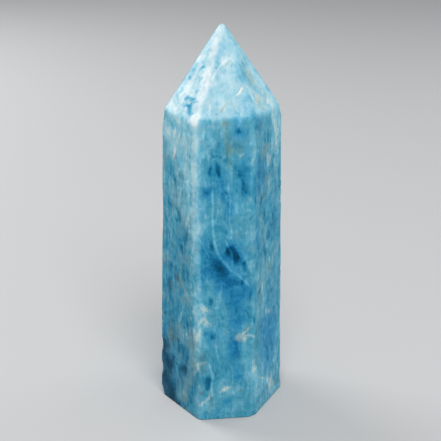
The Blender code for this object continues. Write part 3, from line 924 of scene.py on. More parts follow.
@dataclass
class Inclusions:
    """Works out, at every point of the surface, how strongly each kind of inclusion shows there, and where
    highlights, reflections and shade are painted.
    """

    shape: StoneShape
    patches: Sequence[Patch] = PATCHES
    veins: Sequence[Vein] = VEINS
    depth: float = 1.2  # how far a wide patch reaches into the stone, and so round an edge
    slow_seed: int = 21  # the first of three, one for each axis
    slow_waves: Triple = (1.6, 1.6, 2.6)
    quick_seed: int = 24
    quick_waves: Triple = (0.6, 0.6, 1.1)
    quick_share: float = 0.5
    wander: float = 0.35  # how far outlines stray from their plain ellipses
    vein_wander: float = 0.22  # how far veins stray from their routes
    swell_seed: int = 31
    swell_waves: Triple = (1.2, 1.2, 1.2)
    swelling: float = 0.45  # how much wider and narrower a vein gets on its way
    vein_end: float = 0.3  # a vein's width at its ends, as a share
    longest_taper: float = 1.5
    taper_share: float = 0.4  # a short vein's taper, as a share of its length

    facet_bloom_and_sheen: Sequence[float] = (0.55, 0.83, 0.77, 0.65, 0.5, 0.7)  # by Side: each tip facet's own whitening and painted reflection
    facet_blend: float = 0.25
    bloom_and_sheen_steps: Sequence[Triple] = ((0.75, -0.10, 0.55), (0.15, -1.2, 0.0), (0.10, 0.2, 1.4))
    corner_highlight: float = 0.4  # painted highlight on the worn corner where the front left edge bends
    corner_highlight_reach: float = 1.3
    edge_highlights: Sequence[EdgeHighlight] = (
        EdgeHighlight(Corner.LEFT_FRONT, 1.4, 0.16, 0.42, 0.95, 0.65),
        EdgeHighlight(Corner.FRONT_RIGHT, 0.9, 0.08, 0.15, 0.10, 0.10),
        EdgeHighlight(Corner.RIGHT_BACK, 1.0, 0.12, 0.40, 0.20, 0.20),
        EdgeHighlight(Corner.BACK_RIGHT, 0.9, 0.10, 0.20, 0.20, 0.20),
        EdgeHighlight(Corner.BACK_LEFT, 1.2, 0.15, 0.25, 0.40, 0.40),
        EdgeHighlight(Corner.LEFT_BACK, 0.7, 0.00, 0.10, 0.10, 0.30),
    )
    highlight_core: float = 0.25  # the share of a painted highlight band's width that has its full strength

    side_blend: float = 0.6
    fibre: Sequence[float] = (0.8, 0.95, 0.2, 0.7, 0.6, 0.4)  # by Side
    plain_side: Side = RIGHT  # where the grain turns plainer low down
    plain_height: float = 14.0
    plain_reach: float = 8.0
    plain_loss: float = 0.3
    painted_shading: Sequence[tuple[Side, Sequence[Pair]]] = (  # painted light and shade: heights, and the shift of tone at each
        (LEFT, ((0, -0.22), (6, -0.19), (12, -0.13), (22, -0.03), (33, 0), (50, 0.1), (64, 0.24), (66, 0))),
        (FRONT, ((0, 0.04), (8, 0.02), (25, 0.02), (40, 0), (54, 0.04), (64, 0.08), (66, 0))),
        (RIGHT, ((0, 0.05), (9, 0.07), (16, 0.07), (24, 0), (38, 0.02), (50, 0), (64, 0.07), (66, 0))),
    )

    hidden_sides: Sequence[Side] = (Side.BACK_RIGHT, Side.BACK, Side.BACK_LEFT)
    hidden_patches: Sequence[Scatter] = (
        Scatter(DEEP, 16, (0.8, 2.6), (1.4, 4.0), 0.85),
        Scatter(AZURE, 7, (2.5, 6.0), (4.0, 10.0), 0.9),
        Scatter(PALE, 11, (0.8, 3.0), (1.6, 5.0), 0.8),
        Scatter(CREAM, 6, (0.6, 1.6), (1.0, 3.0), 0.8),
        Scatter(TAN, 9, (0.5, 1.2), (1.2, 3.6), 0.75),
    )
    patch_across: Pair = (-6.0, 6.0)
    patch_height: Pair = (0.0, 74.0)
    patch_lean: float = 22.0  # the usual lean, in degrees
    patch_strength: Pair = (0.6, 1.1)
    hidden_veins: int = 6
    vein_kinds: Sequence[Field] = (TAN, CREAM, VEIN, VEIN)
    vein_bends: int = 6
    vein_start: tuple[Pair, Pair] = ((-5.0, 5.0), (8.0, 70.0))  # across and height, from and to
    vein_step: tuple[Pair, Pair] = ((0.5, 0.8), (-2.2, 0.7))  # across and up, mean and spread
    vein_width: float = 0.4
    vein_strength: Pair = (0.5, 1.0)
    seed: int = 5

    def scattered(self) -> tuple[list[Patch], list[Vein]]:
        """Draws inclusions for the sides at the back, of the same kinds and sizes as those in front.

        Returns:
            Patches and veins.
        """
        rng = np.random.default_rng(self.seed)
        found_patches, found_veins = [], []
        for side in self.hidden_sides:
            for plan in self.hidden_patches:
                for _ in range(plan.count):
                    place = rng.uniform(*self.patch_across), rng.uniform(*self.patch_height)
                    size = rng.uniform(*plan.widths), rng.uniform(*plan.lengths)
                    lean = rng.normal(0.0, self.patch_lean)
                    strength = plan.strength * rng.uniform(*self.patch_strength)
                    found_patches.append(Patch(plan.kind, side, *place, *size, lean, strength))
            for _ in range(self.hidden_veins):
                start = [rng.uniform(*ends) for ends in self.vein_start]
                steps = np.stack([rng.normal(*step, self.vein_bends) for step in self.vein_step], axis=1)
                route = start + np.cumsum(steps, axis=0)
                kind = self.vein_kinds[rng.integers(len(self.vein_kinds))]
                strength = rng.uniform(*self.vein_strength)
                found_veins.append(Vein(kind, side, self.vein_width, strength, route))
        return found_patches, found_veins

    def _strayed(self, points: Array) -> tuple[Array, Array]:
        """Points moved by two sizes of noise, so that plain outlines turn irregular.

        Args:
            points: (n, 3) places.

        Returns:
            (n, 3) places for patches, and (n, 3) places for veins.
        """
        slow, quick = (
            np.stack([Noise(seed + axis)(points, waves) for axis in range(3)], axis=-1)
            for seed, waves in ((self.slow_seed, self.slow_waves), (self.quick_seed, self.quick_waves))
        )
        return points + self.wander * (slow + self.quick_share * quick), points + self.vein_wander * slow

    def _patch_field(self, points: Array, patch: Patch) -> Array:
        """A patch's share at each point: ½ to the power of the squared distance in half widths.

        Args:
            points: (n, 3) places.
            patch: the patch, taken as an ellipsoid.

        Returns:
            (n,) shares, ½ of the strength on the patch's outline.
        """
        middle, normal, right = self.shape.on_surface(
            patch.side, np.array([patch.across]), np.array([patch.height])
        )
        up = np.cross(normal[0], right)
        lean = np.radians(patch.lean)
        lengthways = up * np.cos(lean) + right * np.sin(lean)
        sideways = np.cross(normal[0], lengthways)
        offset = points - middle[0]
        reach = (
            (offset @ lengthways / (patch.length / 2.0)) ** 2
            + (offset @ sideways / (patch.width / 2.0)) ** 2
            + (offset @ normal[0] / min(patch.width / 2.0, self.depth)) ** 2
        )
        return patch.strength * 0.5**reach

    @staticmethod
    def _rounded(route: Array, pieces: int = 3) -> Array:
        """A route without sharp bends: the Catmull-Rom curve through its points.

        Args:
            route: (n, 2) places.
            pieces: how many straight pieces replace each stretch.

        Returns:
            (m, 2) places.
        """
        ends = np.concatenate([[2.0 * route[0] - route[1]], route, [2.0 * route[-1] - route[-2]]])
        a, b, c, d = (ends[i : len(ends) - 3 + i, None] for i in range(4))
        t = np.linspace(0.0, 1.0, pieces, endpoint=False)[:, None]
        bend = 2.0 * b + (c - a) * t + (2.0 * a - 5.0 * b + 4.0 * c - d) * t**2
        curve = 0.5 * (bend + (3.0 * b - a - 3.0 * c + d) * t**3)
        return np.concatenate([curve.reshape(-1, 2), route[-1:]])

    @staticmethod
    def _from_line(points: Array, start: Array, end: Array) -> tuple[Array, Array]:
        """The nearest place on a straight line to each point.

        Args:
            points: (n, 3) places.
            start: where the line starts.
            end: where it ends.

        Returns:
            (n,) shares of the line passed, and (n, 3) ways from there to the points.
        """
        line = end - start
        share = np.clip((points - start) @ line / (line @ line), 0.0, 1.0)
        return share, points - start - share[:, None] * line

    def _vein_field(self, points: Array, vein: Vein, swell: Array) -> Array:
        """A vein's share at each point, from the squared distance to its nearest straight stretch.

        Args:
            points: (n, 3) places.
            vein: the vein.
            swell: (n,) factors of its width.

        Returns:
            (n,) shares, ½ of the strength at half the width from the line, and less at its ends.
        """
        route = self._rounded(np.array(vein.route, float))
        bends, _, _ = self.shape.on_surface(vein.side, route[:, 0], route[:, 1])
        stretches = np.linalg.norm(np.diff(bends, axis=0), axis=1)
        passed = np.concatenate([[0.0], np.cumsum(stretches)])
        nearest = np.full(len(points), np.inf)
        along = np.zeros(len(points))
        for start, end, before, length in zip(bends, bends[1:], passed, stretches):
            share, gap = self._from_line(points, start, end)
            square = np.einsum("ij,ij->i", gap, gap)
            along = np.where(square < nearest, before + share * length, along)
            nearest = np.minimum(nearest, square)
        from_end = np.minimum(along, passed[-1] - along)
        tapering = min(self.longest_taper, self.taper_share * passed[-1])
        taper = self.vein_end + (1.0 - self.vein_end) * smoothstep(0.0, tapering, from_end)
        half = vein.width / 2.0 * taper * swell
        return vein.strength * np.sqrt(taper) * 0.5 ** (nearest / half**2)

    def _tip_bloom_and_sheen(self, points: Array) -> Array:
        """The whitening of the tip facets, partly their own and partly painted reflection, by the facet that
        a point is nearest to, and a painted highlight on a worn corner.

        It comes in steps, each a share and the heights over the shoulder between which it comes in.

        Args:
            points: (n, 3) places.

        Returns:
            (n,) shares.
        """
        shape = self.shape
        facets = shape.heights(points, shape.facets)
        above = facets.max(axis=1) - shape.heights(points, shape.sides).max(axis=1)
        on_tip = sum(share * smoothstep(low, high, above) for share, low, high in self.bloom_and_sheen_steps)
        corner = shape.shoulder_corners[Corner.LEFT_FRONT.value]
        worn = np.exp(-((points - corner) ** 2).sum(axis=1) / self.corner_highlight_reach**2)
        of_facet = self._shares(facets, self.facet_blend) @ np.array(self.facet_bloom_and_sheen)
        return np.maximum(on_tip, self.corner_highlight * worn) * of_facet

    def _edge_highlights(self, points: Array) -> Array:
        """The painted highlights along the worn edges, stronger or weaker from the foot up to the nose.

        Args:
            points: (n, 3) places.

        Returns:
            (n,) shares.
        """
        shape = self.shape
        total = np.zeros(len(points))
        for edge in self.edge_highlights:
            at = edge.corner.value
            foot, shoulder = shape.foot_corners[at], shape.shoulder_corners[at]
            for start, end, first, last in (
                (foot, shoulder, edge.at_foot, edge.under_shoulder),
                (shoulder, shape.apex, edge.over_shoulder, edge.at_nose),
            ):
                share, gap = self._from_line(points, start, end)
                near = smoothstep(edge.width, self.highlight_core * edge.width, np.linalg.norm(gap, axis=1))
                total = np.maximum(total, (first + (last - first) * share) * near)
        return total

    @staticmethod
    def _shares(heights: Array, blend: float) -> Array:
        """How much each point belongs to each face: all to the highest, and shared where two are close.

        Args:
            heights: (n, faces) heights over the faces' planes.
            blend: how close two heights are where the faces share.

        Returns:
            (n, faces) shares that add up to 1.
        """
        weight = np.exp((heights - heights.max(axis=1, keepdims=True)) / blend)
        return weight / weight.sum(axis=1, keepdims=True)

    def _fibre(self, on_side: Array, height: Array) -> Array:
        """How fibrous the stone looks: as its side is, but less round one height of the plain side.

        Args:
            on_side: (n, 6) shares of the sides.
            height: (n,) heights above the foot.

        Returns:
            (n,) shares.
        """
        plain = np.exp(-(((height - self.plain_height) / self.plain_reach) ** 2))
        return on_side @ np.array(self.fibre) - self.plain_loss * plain * on_side[:, self.plain_side.value]

    def _painted_shading(self, on_side: Array, height: Array) -> Array:
        """Painted light and shade: broad lighter and darker stretches of each side, from straight lines
        between set heights.

        Args:
            on_side: (n, 6) shares of the sides.
            height: (n,) heights above the foot.

        Returns:
            (n,) shifts of tone.
        """
        total = np.zeros(len(height))
        for side, stops in self.painted_shading:
            heights, shifts = zip(*stops)
            total += on_side[:, side.value] * np.interp(height, heights, shifts)
        return total

    def fields(self, points: Array) -> dict[Field, Array]:
        """Every field at every point. Inclusions of a kind add up as 1 less the product of the rests.

        Args:
            points: (n, 3) places on the worn surface.

        Returns:
            An (n,) array for each field.
        """
        for_patches, for_veins = self._strayed(points)
        swell = 1.0 + self.swelling * Noise(self.swell_seed)(points, self.swell_waves)
        rest = {kind: np.ones(len(points)) for kind in (DEEP, AZURE, PALE, CREAM, TAN, VEIN, BLOOM)}
        more_patches, more_veins = self.scattered()
        for patch in (*self.patches, *more_patches):
            rest[patch.kind] *= 1.0 - np.clip(self._patch_field(for_patches, patch), 0.0, 1.0)
        for vein in (*self.veins, *more_veins):
            rest[vein.kind] *= 1.0 - np.clip(self._vein_field(for_veins, vein, swell), 0.0, 1.0)
        # the tip facets' whitening is partly painted reflection, and the edge bands are painted highlights
        rest[BLOOM] *= (1.0 - self._tip_bloom_and_sheen(points)) * (1.0 - self._edge_highlights(points))
        found = {kind: 1.0 - value for kind, value in rest.items()}

        on_side = self._shares(self.shape.heights(points, self.shape.sides), self.side_blend)
        found[Field.FIBRE] = self._fibre(on_side, points[:, 2])
        # painted light and shade: each side lighter or darker by height
        found[Field.PAINTED_SHADING] = self._painted_shading(on_side, points[:, 2])
        return found


# ---------------------------------------------------------------------------------------------
# Shader arithmetic
# ---------------------------------------------------------------------------------------------


class Wire:
    """An output of a shader node that can be used in Python arithmetic."""

    def __init__(self, graph: "Graph", socket: bpy.types.NodeSocket) -> None:
        """Wraps a socket.

        Args:
            graph: the graph that the socket's node is in.
            socket: the output socket.
        """
        self.graph = graph
        self.socket = socket

    def _math(self, operation: str, first: "Term", second: "Term") -> "Wire":
        """Adds a Math node for one operation."""
        return self.graph.node("ShaderNodeMath", {"operation": operation}, {0: first, 1: second})

    def __add__(self, other: "Term") -> "Wire":
        """self + other."""
        return self._math("ADD", self, other)

    def __radd__(self, other: "Term") -> "Wire":
        """other + self."""
        return self._math("ADD", other, self)

    def __sub__(self, other: "Term") -> "Wire":
        """self - other."""
        return self._math("SUBTRACT", self, other)

    def __rsub__(self, other: "Term") -> "Wire":
        """other - self."""
        return self._math("SUBTRACT", other, self)

    def __mul__(self, other: "Term") -> "Wire":
        """self * other."""
        return self._math("MULTIPLY", self, other)

    def __rmul__(self, other: "Term") -> "Wire":
        """other * self."""
        return self._math("MULTIPLY", other, self)


Term = Wire | float


@dataclass(frozen=True)
class Pattern:
    """One fractal noise."""

    scale: float  # its size, in cells to a millimetre
    detail: float
    roughness: float = 0.55
    distortion: float = 0.0
    offset: Triple = (0.0, 0.0, 0.0)  # sets it apart from other noises
    stretch: Triple = (1.0, 1.0, 1.0)  # below 1, it is drawn out along that axis


class Graph:
    """The node tree of one material, built by expressions."""

    def __init__(self, material: bpy.types.Material) -> None:
        """Empties the material's node tree.

        Args:
            material: a material that uses nodes.
        """
        self.tree = material.node_tree
        self.tree.nodes.clear()

    def node(
        self,
        kind: str,
        settings: Mapping[str, object] | None = None,
        inputs: Mapping[int | str, object] | None = None,
        output: int | str | None = 0,
    ) -> Wire | None:
        """Adds a node.

        Args:
            kind: the node's type.
            settings: its properties, and stops, a colour ramp's (place, colour) pairs.
            inputs: values or wires for its sockets, by number, name or identifier.
            output: the number, name or identifier of the output to return, or None.

        Returns:
            The chosen output, or None for a node without outputs.
        """
        made = self.tree.nodes.new(kind)
        for name, value in (settings or {}).items():
            if name == "stops":
                self._set_stops(made.color_ramp, value)
            else:
                setattr(made, name, value)
        for key, value in (inputs or {}).items():
            socket = self._socket(made.inputs, key)
            if isinstance(value, Wire):
                self.tree.links.new(value.socket, socket)
            else:
                socket.default_value = value
        return None if output is None else Wire(self, self._socket(made.outputs, output))

    @staticmethod
    def _socket(sockets: bpy.types.bpy_prop_collection, key: int | str) -> bpy.types.NodeSocket:
        """Finds one of a node's sockets.

        Args:
            sockets: the node's inputs or outputs.
            key: the socket's number, identifier or name.

        Returns:
            The socket.
        """
        if isinstance(key, int):
            return sockets[key]
        return next((s for s in sockets if s.identifier == key), None) or sockets[key]

    @staticmethod
    def _set_stops(ramp: bpy.types.ColorRamp, stops: Sequence[tuple[float, Colour]]) -> None:
        """Gives a colour ramp its stops.

        Args:
            ramp: a new ramp.
            stops: (place, colour) pairs, with places from 0 to 1.
        """
        while len(ramp.elements) < len(stops):
            ramp.elements.new(1.0)
        for element, (place, colour) in zip(ramp.elements, stops):
            element.position = place
            element.color = (*colour, 1.0)

    def principled(self, inputs: Mapping[str, object]) -> None:
        """Adds the shader and makes it the material's surface."""
        shader = self.node("ShaderNodeBsdfPrincipled", {}, inputs, "BSDF")
        self.node("ShaderNodeOutputMaterial", {}, {"Surface": shader}, None)

    def attribute(self, name: str) -> Wire:
        """Reads a number that is stored on the surface."""
        return self.node("ShaderNodeAttribute", {"attribute_name": name}, output="Fac")

    def millimetres(self) -> Wire:
        """The point's own place in the stone, in millimetres."""
        place = self.node("ShaderNodeTexCoord", output="Object")
        return self.scaled(place, (1.0 / MM,) * 3)

    def scaled(self, vector: Wire, scale: Triple) -> Wire:
        """A vector with each axis scaled."""
        return self.node("ShaderNodeVectorMath", {"operation": "MULTIPLY"}, {0: vector, 1: scale})

    def shifted(self, vector: Wire, offset: Wire | Triple) -> Wire:
        """A vector plus another."""
        return self.node("ShaderNodeVectorMath", {"operation": "ADD"}, {0: vector, 1: offset})

    def noise(self, place: Wire, pattern: Pattern) -> Wire:
        """Reads a noise at a place, first shifted and then stretched.

        Args:
            place: in millimetres.
            pattern: which noise.

        Returns:
            A number from 0 to 1.
        """
        inputs = {
            "Vector": self.scaled(self.shifted(place, pattern.offset), pattern.stretch),
            "Scale": pattern.scale,
            "Detail": pattern.detail,
            "Roughness": pattern.roughness,
            "Distortion": pattern.distortion,
        }
        return self.node("ShaderNodeTexNoise", {}, inputs, "Fac")

    def step(self, value: Wire, ends: Pair) -> Wire:
        """A ramp with flat ends.

        Args:
            value: a number.
            ends: where the ramp starts and where it ends.

        Returns:
            A number from 0 to 1.
        """
        settings = {"interpolation_type": "SMOOTHSTEP"}
        inputs = {"Value": value, "From Min": ends[0], "From Max": ends[1], "To Min": 0.0, "To Max": 1.0}
        return self.node("ShaderNodeMapRange", settings, inputs, "Result")

    def mix(self, factor: Term, first: Wire | Colour, second: Wire | Colour) -> Wire:
        """One colour turned into another.

        Args:
            factor: 0 for the first colour, 1 for the second.
            first: a colour.
            second: another colour.

        Returns:
            The colour between them.
        """
        inputs = {"Factor_Float": factor, "A_Color": self._rgba(first), "B_Color": self._rgba(second)}
        return self.node("ShaderNodeMix", {"data_type": "RGBA"}, inputs, "Result_Color")

    @staticmethod
    def _rgba(colour: Wire | Colour) -> Wire | tuple[float, ...]:
        """A plain colour with its alpha, or the wire as it is."""
        return colour if isinstance(colour, Wire) else (*colour, 1.0)

    def ramp(self, value: Wire, stops: Sequence[tuple[float, Colour]]) -> Wire:
        """A number turned into a colour, by straight lines between the stops.

        Args:
            value: a number, from 0 to the last stop's place.
            stops: (place, colour) pairs, with rising places.

        Returns:
            The colour.
        """
        top = stops[-1][0]
        shares = [(place / top, colour) for place, colour in stops]
        return self.node("ShaderNodeValToRGB", {"stops": shares}, {"Fac": value * (1.0 / top)}, "Color")


# ---------------------------------------------------------------------------------------------
# Finishes
# ---------------------------------------------------------------------------------------------


class Grain(Enum):
    """The noises that the stone's grain is made of."""

    CLOUDS = Pattern(0.20, 2.0, 0.5, 0.7)
    MOTTLE = Pattern(0.62, 3.0, 0.55, 0.8, offset=(31.0, 7.0, 3.0))
    FIBRES = Pattern(0.9, 3.0, 0.55, 0.4, stretch=(1.0, 1.0, 0.20))
    THREADS = Pattern(2.3, 2.0, offset=(5.0, 2.0, 9.0), stretch=(1.0, 1.0, 0.13))
    SPECKLE = Pattern(2.6, 2.0, 0.6)
    FLECKS = Pattern(1.35, 3.0, 0.60, 0.3, offset=(17.0, 4.0, 11.0))


CLOUDS, MOTTLE, FIBRES = Grain.CLOUDS, Grain.MOTTLE, Grain.FIBRES
THREADS, SPECKLE, FLECKS = Grain.THREADS, Grain.SPECKLE, Grain.FLECKS

Shares = Sequence[tuple[Grain, float]]  # how much of each noise goes into a sum
Losses = Sequence[tuple[Field, float]]  # how much an inclusion takes away from something else


@dataclass(frozen=True)
class Outline:
    """How the smooth field of one kind of inclusion is torn into a ragged one, and its tone."""

    kind: Field
    tearing: Shares
    ends: Pair  # the torn field at which the inclusion begins to show and at which it is full
    tone: float  # how much lighter it makes the stone
    gain: float = 1.0


@dataclass(frozen=True)
class Wisps:
    """Pale wisps that lean one way."""

    lean: float  # degrees from upright, positive to the right
    offset: float  # sets them apart from the other wisps
    scale: float
    start: float  # the noise at which a wisp begins to show


@dataclass(frozen=True)
class ApatiteFinish:
    """Polished blue apatite: mottled from deep to milky blue, with pale veins and rusty stains."""

    tones: Sequence[tuple[float, Colour]] = (
        (0.00, (0.002, 0.052, 0.100)),
        (0.15, (0.003, 0.090, 0.172)),
        (0.30, (0.008, 0.146, 0.266)),
        (0.45, (0.020, 0.212, 0.350)),
        (0.60, (0.044, 0.276, 0.418)),
        (0.75, (0.082, 0.340, 0.474)),
        (0.90, (0.146, 0.412, 0.540)),
        (1.05, (0.262, 0.505, 0.610)),
        (1.30, (0.440, 0.630, 0.695)),
        (1.60, (0.690, 0.800, 0.830)),
    )
    # How much each noise lightens and darkens cloudy stone, and how much more it does in fibrous stone.
    cloudy: Shares = ((CLOUDS, 0.39), (MOTTLE, 0.58), (FIBRES, 0.24), (THREADS, 0.10), (SPECKLE, 0.09))
    fibrous: Shares = ((CLOUDS, 0.43), (MOTTLE, 0.34), (FIBRES, 0.52), (THREADS, 0.11))
    outlines: Sequence[Outline] = (
        Outline(AZURE, ((MOTTLE, 0.42), (FLECKS, 0.70), (THREADS, 0.21)), (0.02, 0.90), -0.20),
        Outline(DEEP, ((MOTTLE, 0.33), (FLECKS, 0.55), (THREADS, 0.165)), (0.15, 0.92), -0.45, gain=1.1),
        Outline(PALE, ((MOTTLE, 0.25), (SPECKLE, 0.15), (THREADS, 0.1), (FIBRES, 0.3)), (0.05, 0.95), 0.26),
        Outline(VEIN, ((MOTTLE, 0.075), (SPECKLE, 0.045), (THREADS, 0.03)), (0.10, 0.80), 0.30),
        Outline(CREAM, ((MOTTLE, 0.35), (SPECKLE, 0.21), (THREADS, 1.04), (FIBRES, 0.6)), (0.15, 1.0), 0.30),
        Outline(TAN, ((MOTTLE, 0.35), (SPECKLE, 0.21), (THREADS, 1.04), (FIBRES, 0.6)), (0.20, 0.95), 0.0),
    )
    middle_tone: float = 0.66
    bloom_and_sheen_tone: float = 0.66
    bloom_and_sheen_evens: float = 0.25  # how much of the contrast the bloom and its painted reflection take away
    bright_ends: Pair = (0.70, 0.95)  # the bloom at which the brightest facets, mostly painted reflection, begin and are full
    bright_tone: float = 0.20
    bright_contrast: float = 0.40
    bright_deepens: float = 0.16  # how much darker deep places are on them

    wisps: Sequence[Wisps] = (
        Wisps(34.0, 2.0, 1.0, 0.56),
        Wisps(-20.0, 41.0, 1.2, 0.58),
        Wisps(8.0, 77.0, 1.5, 0.56),
    )
    wisp_place: Pair = (8.0, 1.0)  # the rest of their offset
    wisp_stretch: float = 0.26
    wisp_rise: float = 0.12  # from where a wisp begins to show to where it is full
    wisp_peaks: Pattern = Pattern(1.0, 2.0, 0.5, 0.9)
    wisp_areas: Pattern = Pattern(0.26, 2.0)
    area_place: Pair = (17.0, 5.0)
    area_ends: Pair = (0.42, 0.62)  # where wisps begin to crowd, and where they all show
    wisp_tone: float = 0.14
    wisp_tone_in_pale: float = 0.14
    wisps_lost_in_sheen: float = 0.6
    windows: Pattern = Pattern(0.80, 2.0, 0.5, 0.1, offset=(14.0, 3.0, 6.0), stretch=(1.0, 1.0, 0.60))
    window_ends: Pair = (0.60, 0.78)
    window_tone: float = 0.24

    azure: Colour = (0.83, 0.95, 1.13)  # what the bluer areas make of each colour
    azure_losses: Losses = ((BLOOM, 1.0), (CREAM, 0.9))  # what keeps a place from turning bluer
    azure_lost_in_fibre: float = 0.95
    azure_in_bright: float = 0.8
    fresh: Colour = (0.78, 1.00, 1.05)  # what the palest areas make of each colour
    fresh_ends: Pair = (0.76, 1.06)  # the tones at which they begin and are full
    dust: Colour = (0.160, 0.225, 0.225)  # greyish grain, where the stone is cloudy and fibrous
    dust_grain_ends: Pair = (-0.12, 0.20)
    dust_fibre_ends: Pair = (0.4, 1.0)
    dustiness: float = 0.48
    dust_losses: Losses = ((BLOOM, 1.0), (DEEP, 0.8), (AZURE, 0.7))
    dust_lost_in_light: float = 0.7
    cold: Colour = (0.91, 1.00, 1.01)  # the widest changes of hue in the plain stone
    warm: Colour = (1.13, 1.00, 0.965)
    hues: Pattern = Pattern(0.55, 3.0, 0.6, offset=(3.0, 12.0, 27.0), stretch=(1.0, 1.0, 0.6))
    hue_ends: Pair = (0.36, 0.64)
    hues_lost_in_sheen: float = 0.8
    cream: Colour = (1.10, 0.93, 0.82)  # what the creamy fibres make of each colour
    milk: Colour = (0.140, 0.065, 0.030)  # and what they add
    creaminess: float = 0.9
    stain: Colour = (0.76, 0.66, 0.52)  # what rusty water in the cracks leaves of each colour
    rust: Colour = (0.066, 0.026, 0.016)  # and what it adds
    sand: Colour = (0.042, 0.032, 0.018)
    sand_ends: Pair = (-0.15, 0.15)
    staining: float = 0.85
    spots: Pattern = Pattern(0.9, 3.0, 0.6, offset=(9.0, 1.0, 4.0), stretch=(1.0, 1.0, 0.35))
    spot_ends: Pair = (0.60, 0.76)  # faint stains all over
    spot_losses: Losses = ((DEEP, 1.0), (AZURE, 0.8))
    spot_staining: float = 0.26

    roughness: float = 0.24
    dulling: Shares = ((MOTTLE, 0.10), (SPECKLE, 0.08))
    relief: Shares = ((MOTTLE, 0.25), (THREADS, 0.20))
    pores: Pattern = Pattern(7.0, 2.0)
    pore_height: float = 0.12
    vein_height: float = -0.3
    relief_height: float = 0.05  # millimetres
    relief_strength: float = 0.22
    ior: float = 1.63
    specular: float = 0.03

    def material(self) -> bpy.types.Material:
        """Builds the material.

        Returns:
            The material, which reads the stone's stored fields.
        """
        made = bpy.data.materials.new("polished_apatite")
        made.use_nodes = True
        ApatiteGraph(made, self).build()
        return made


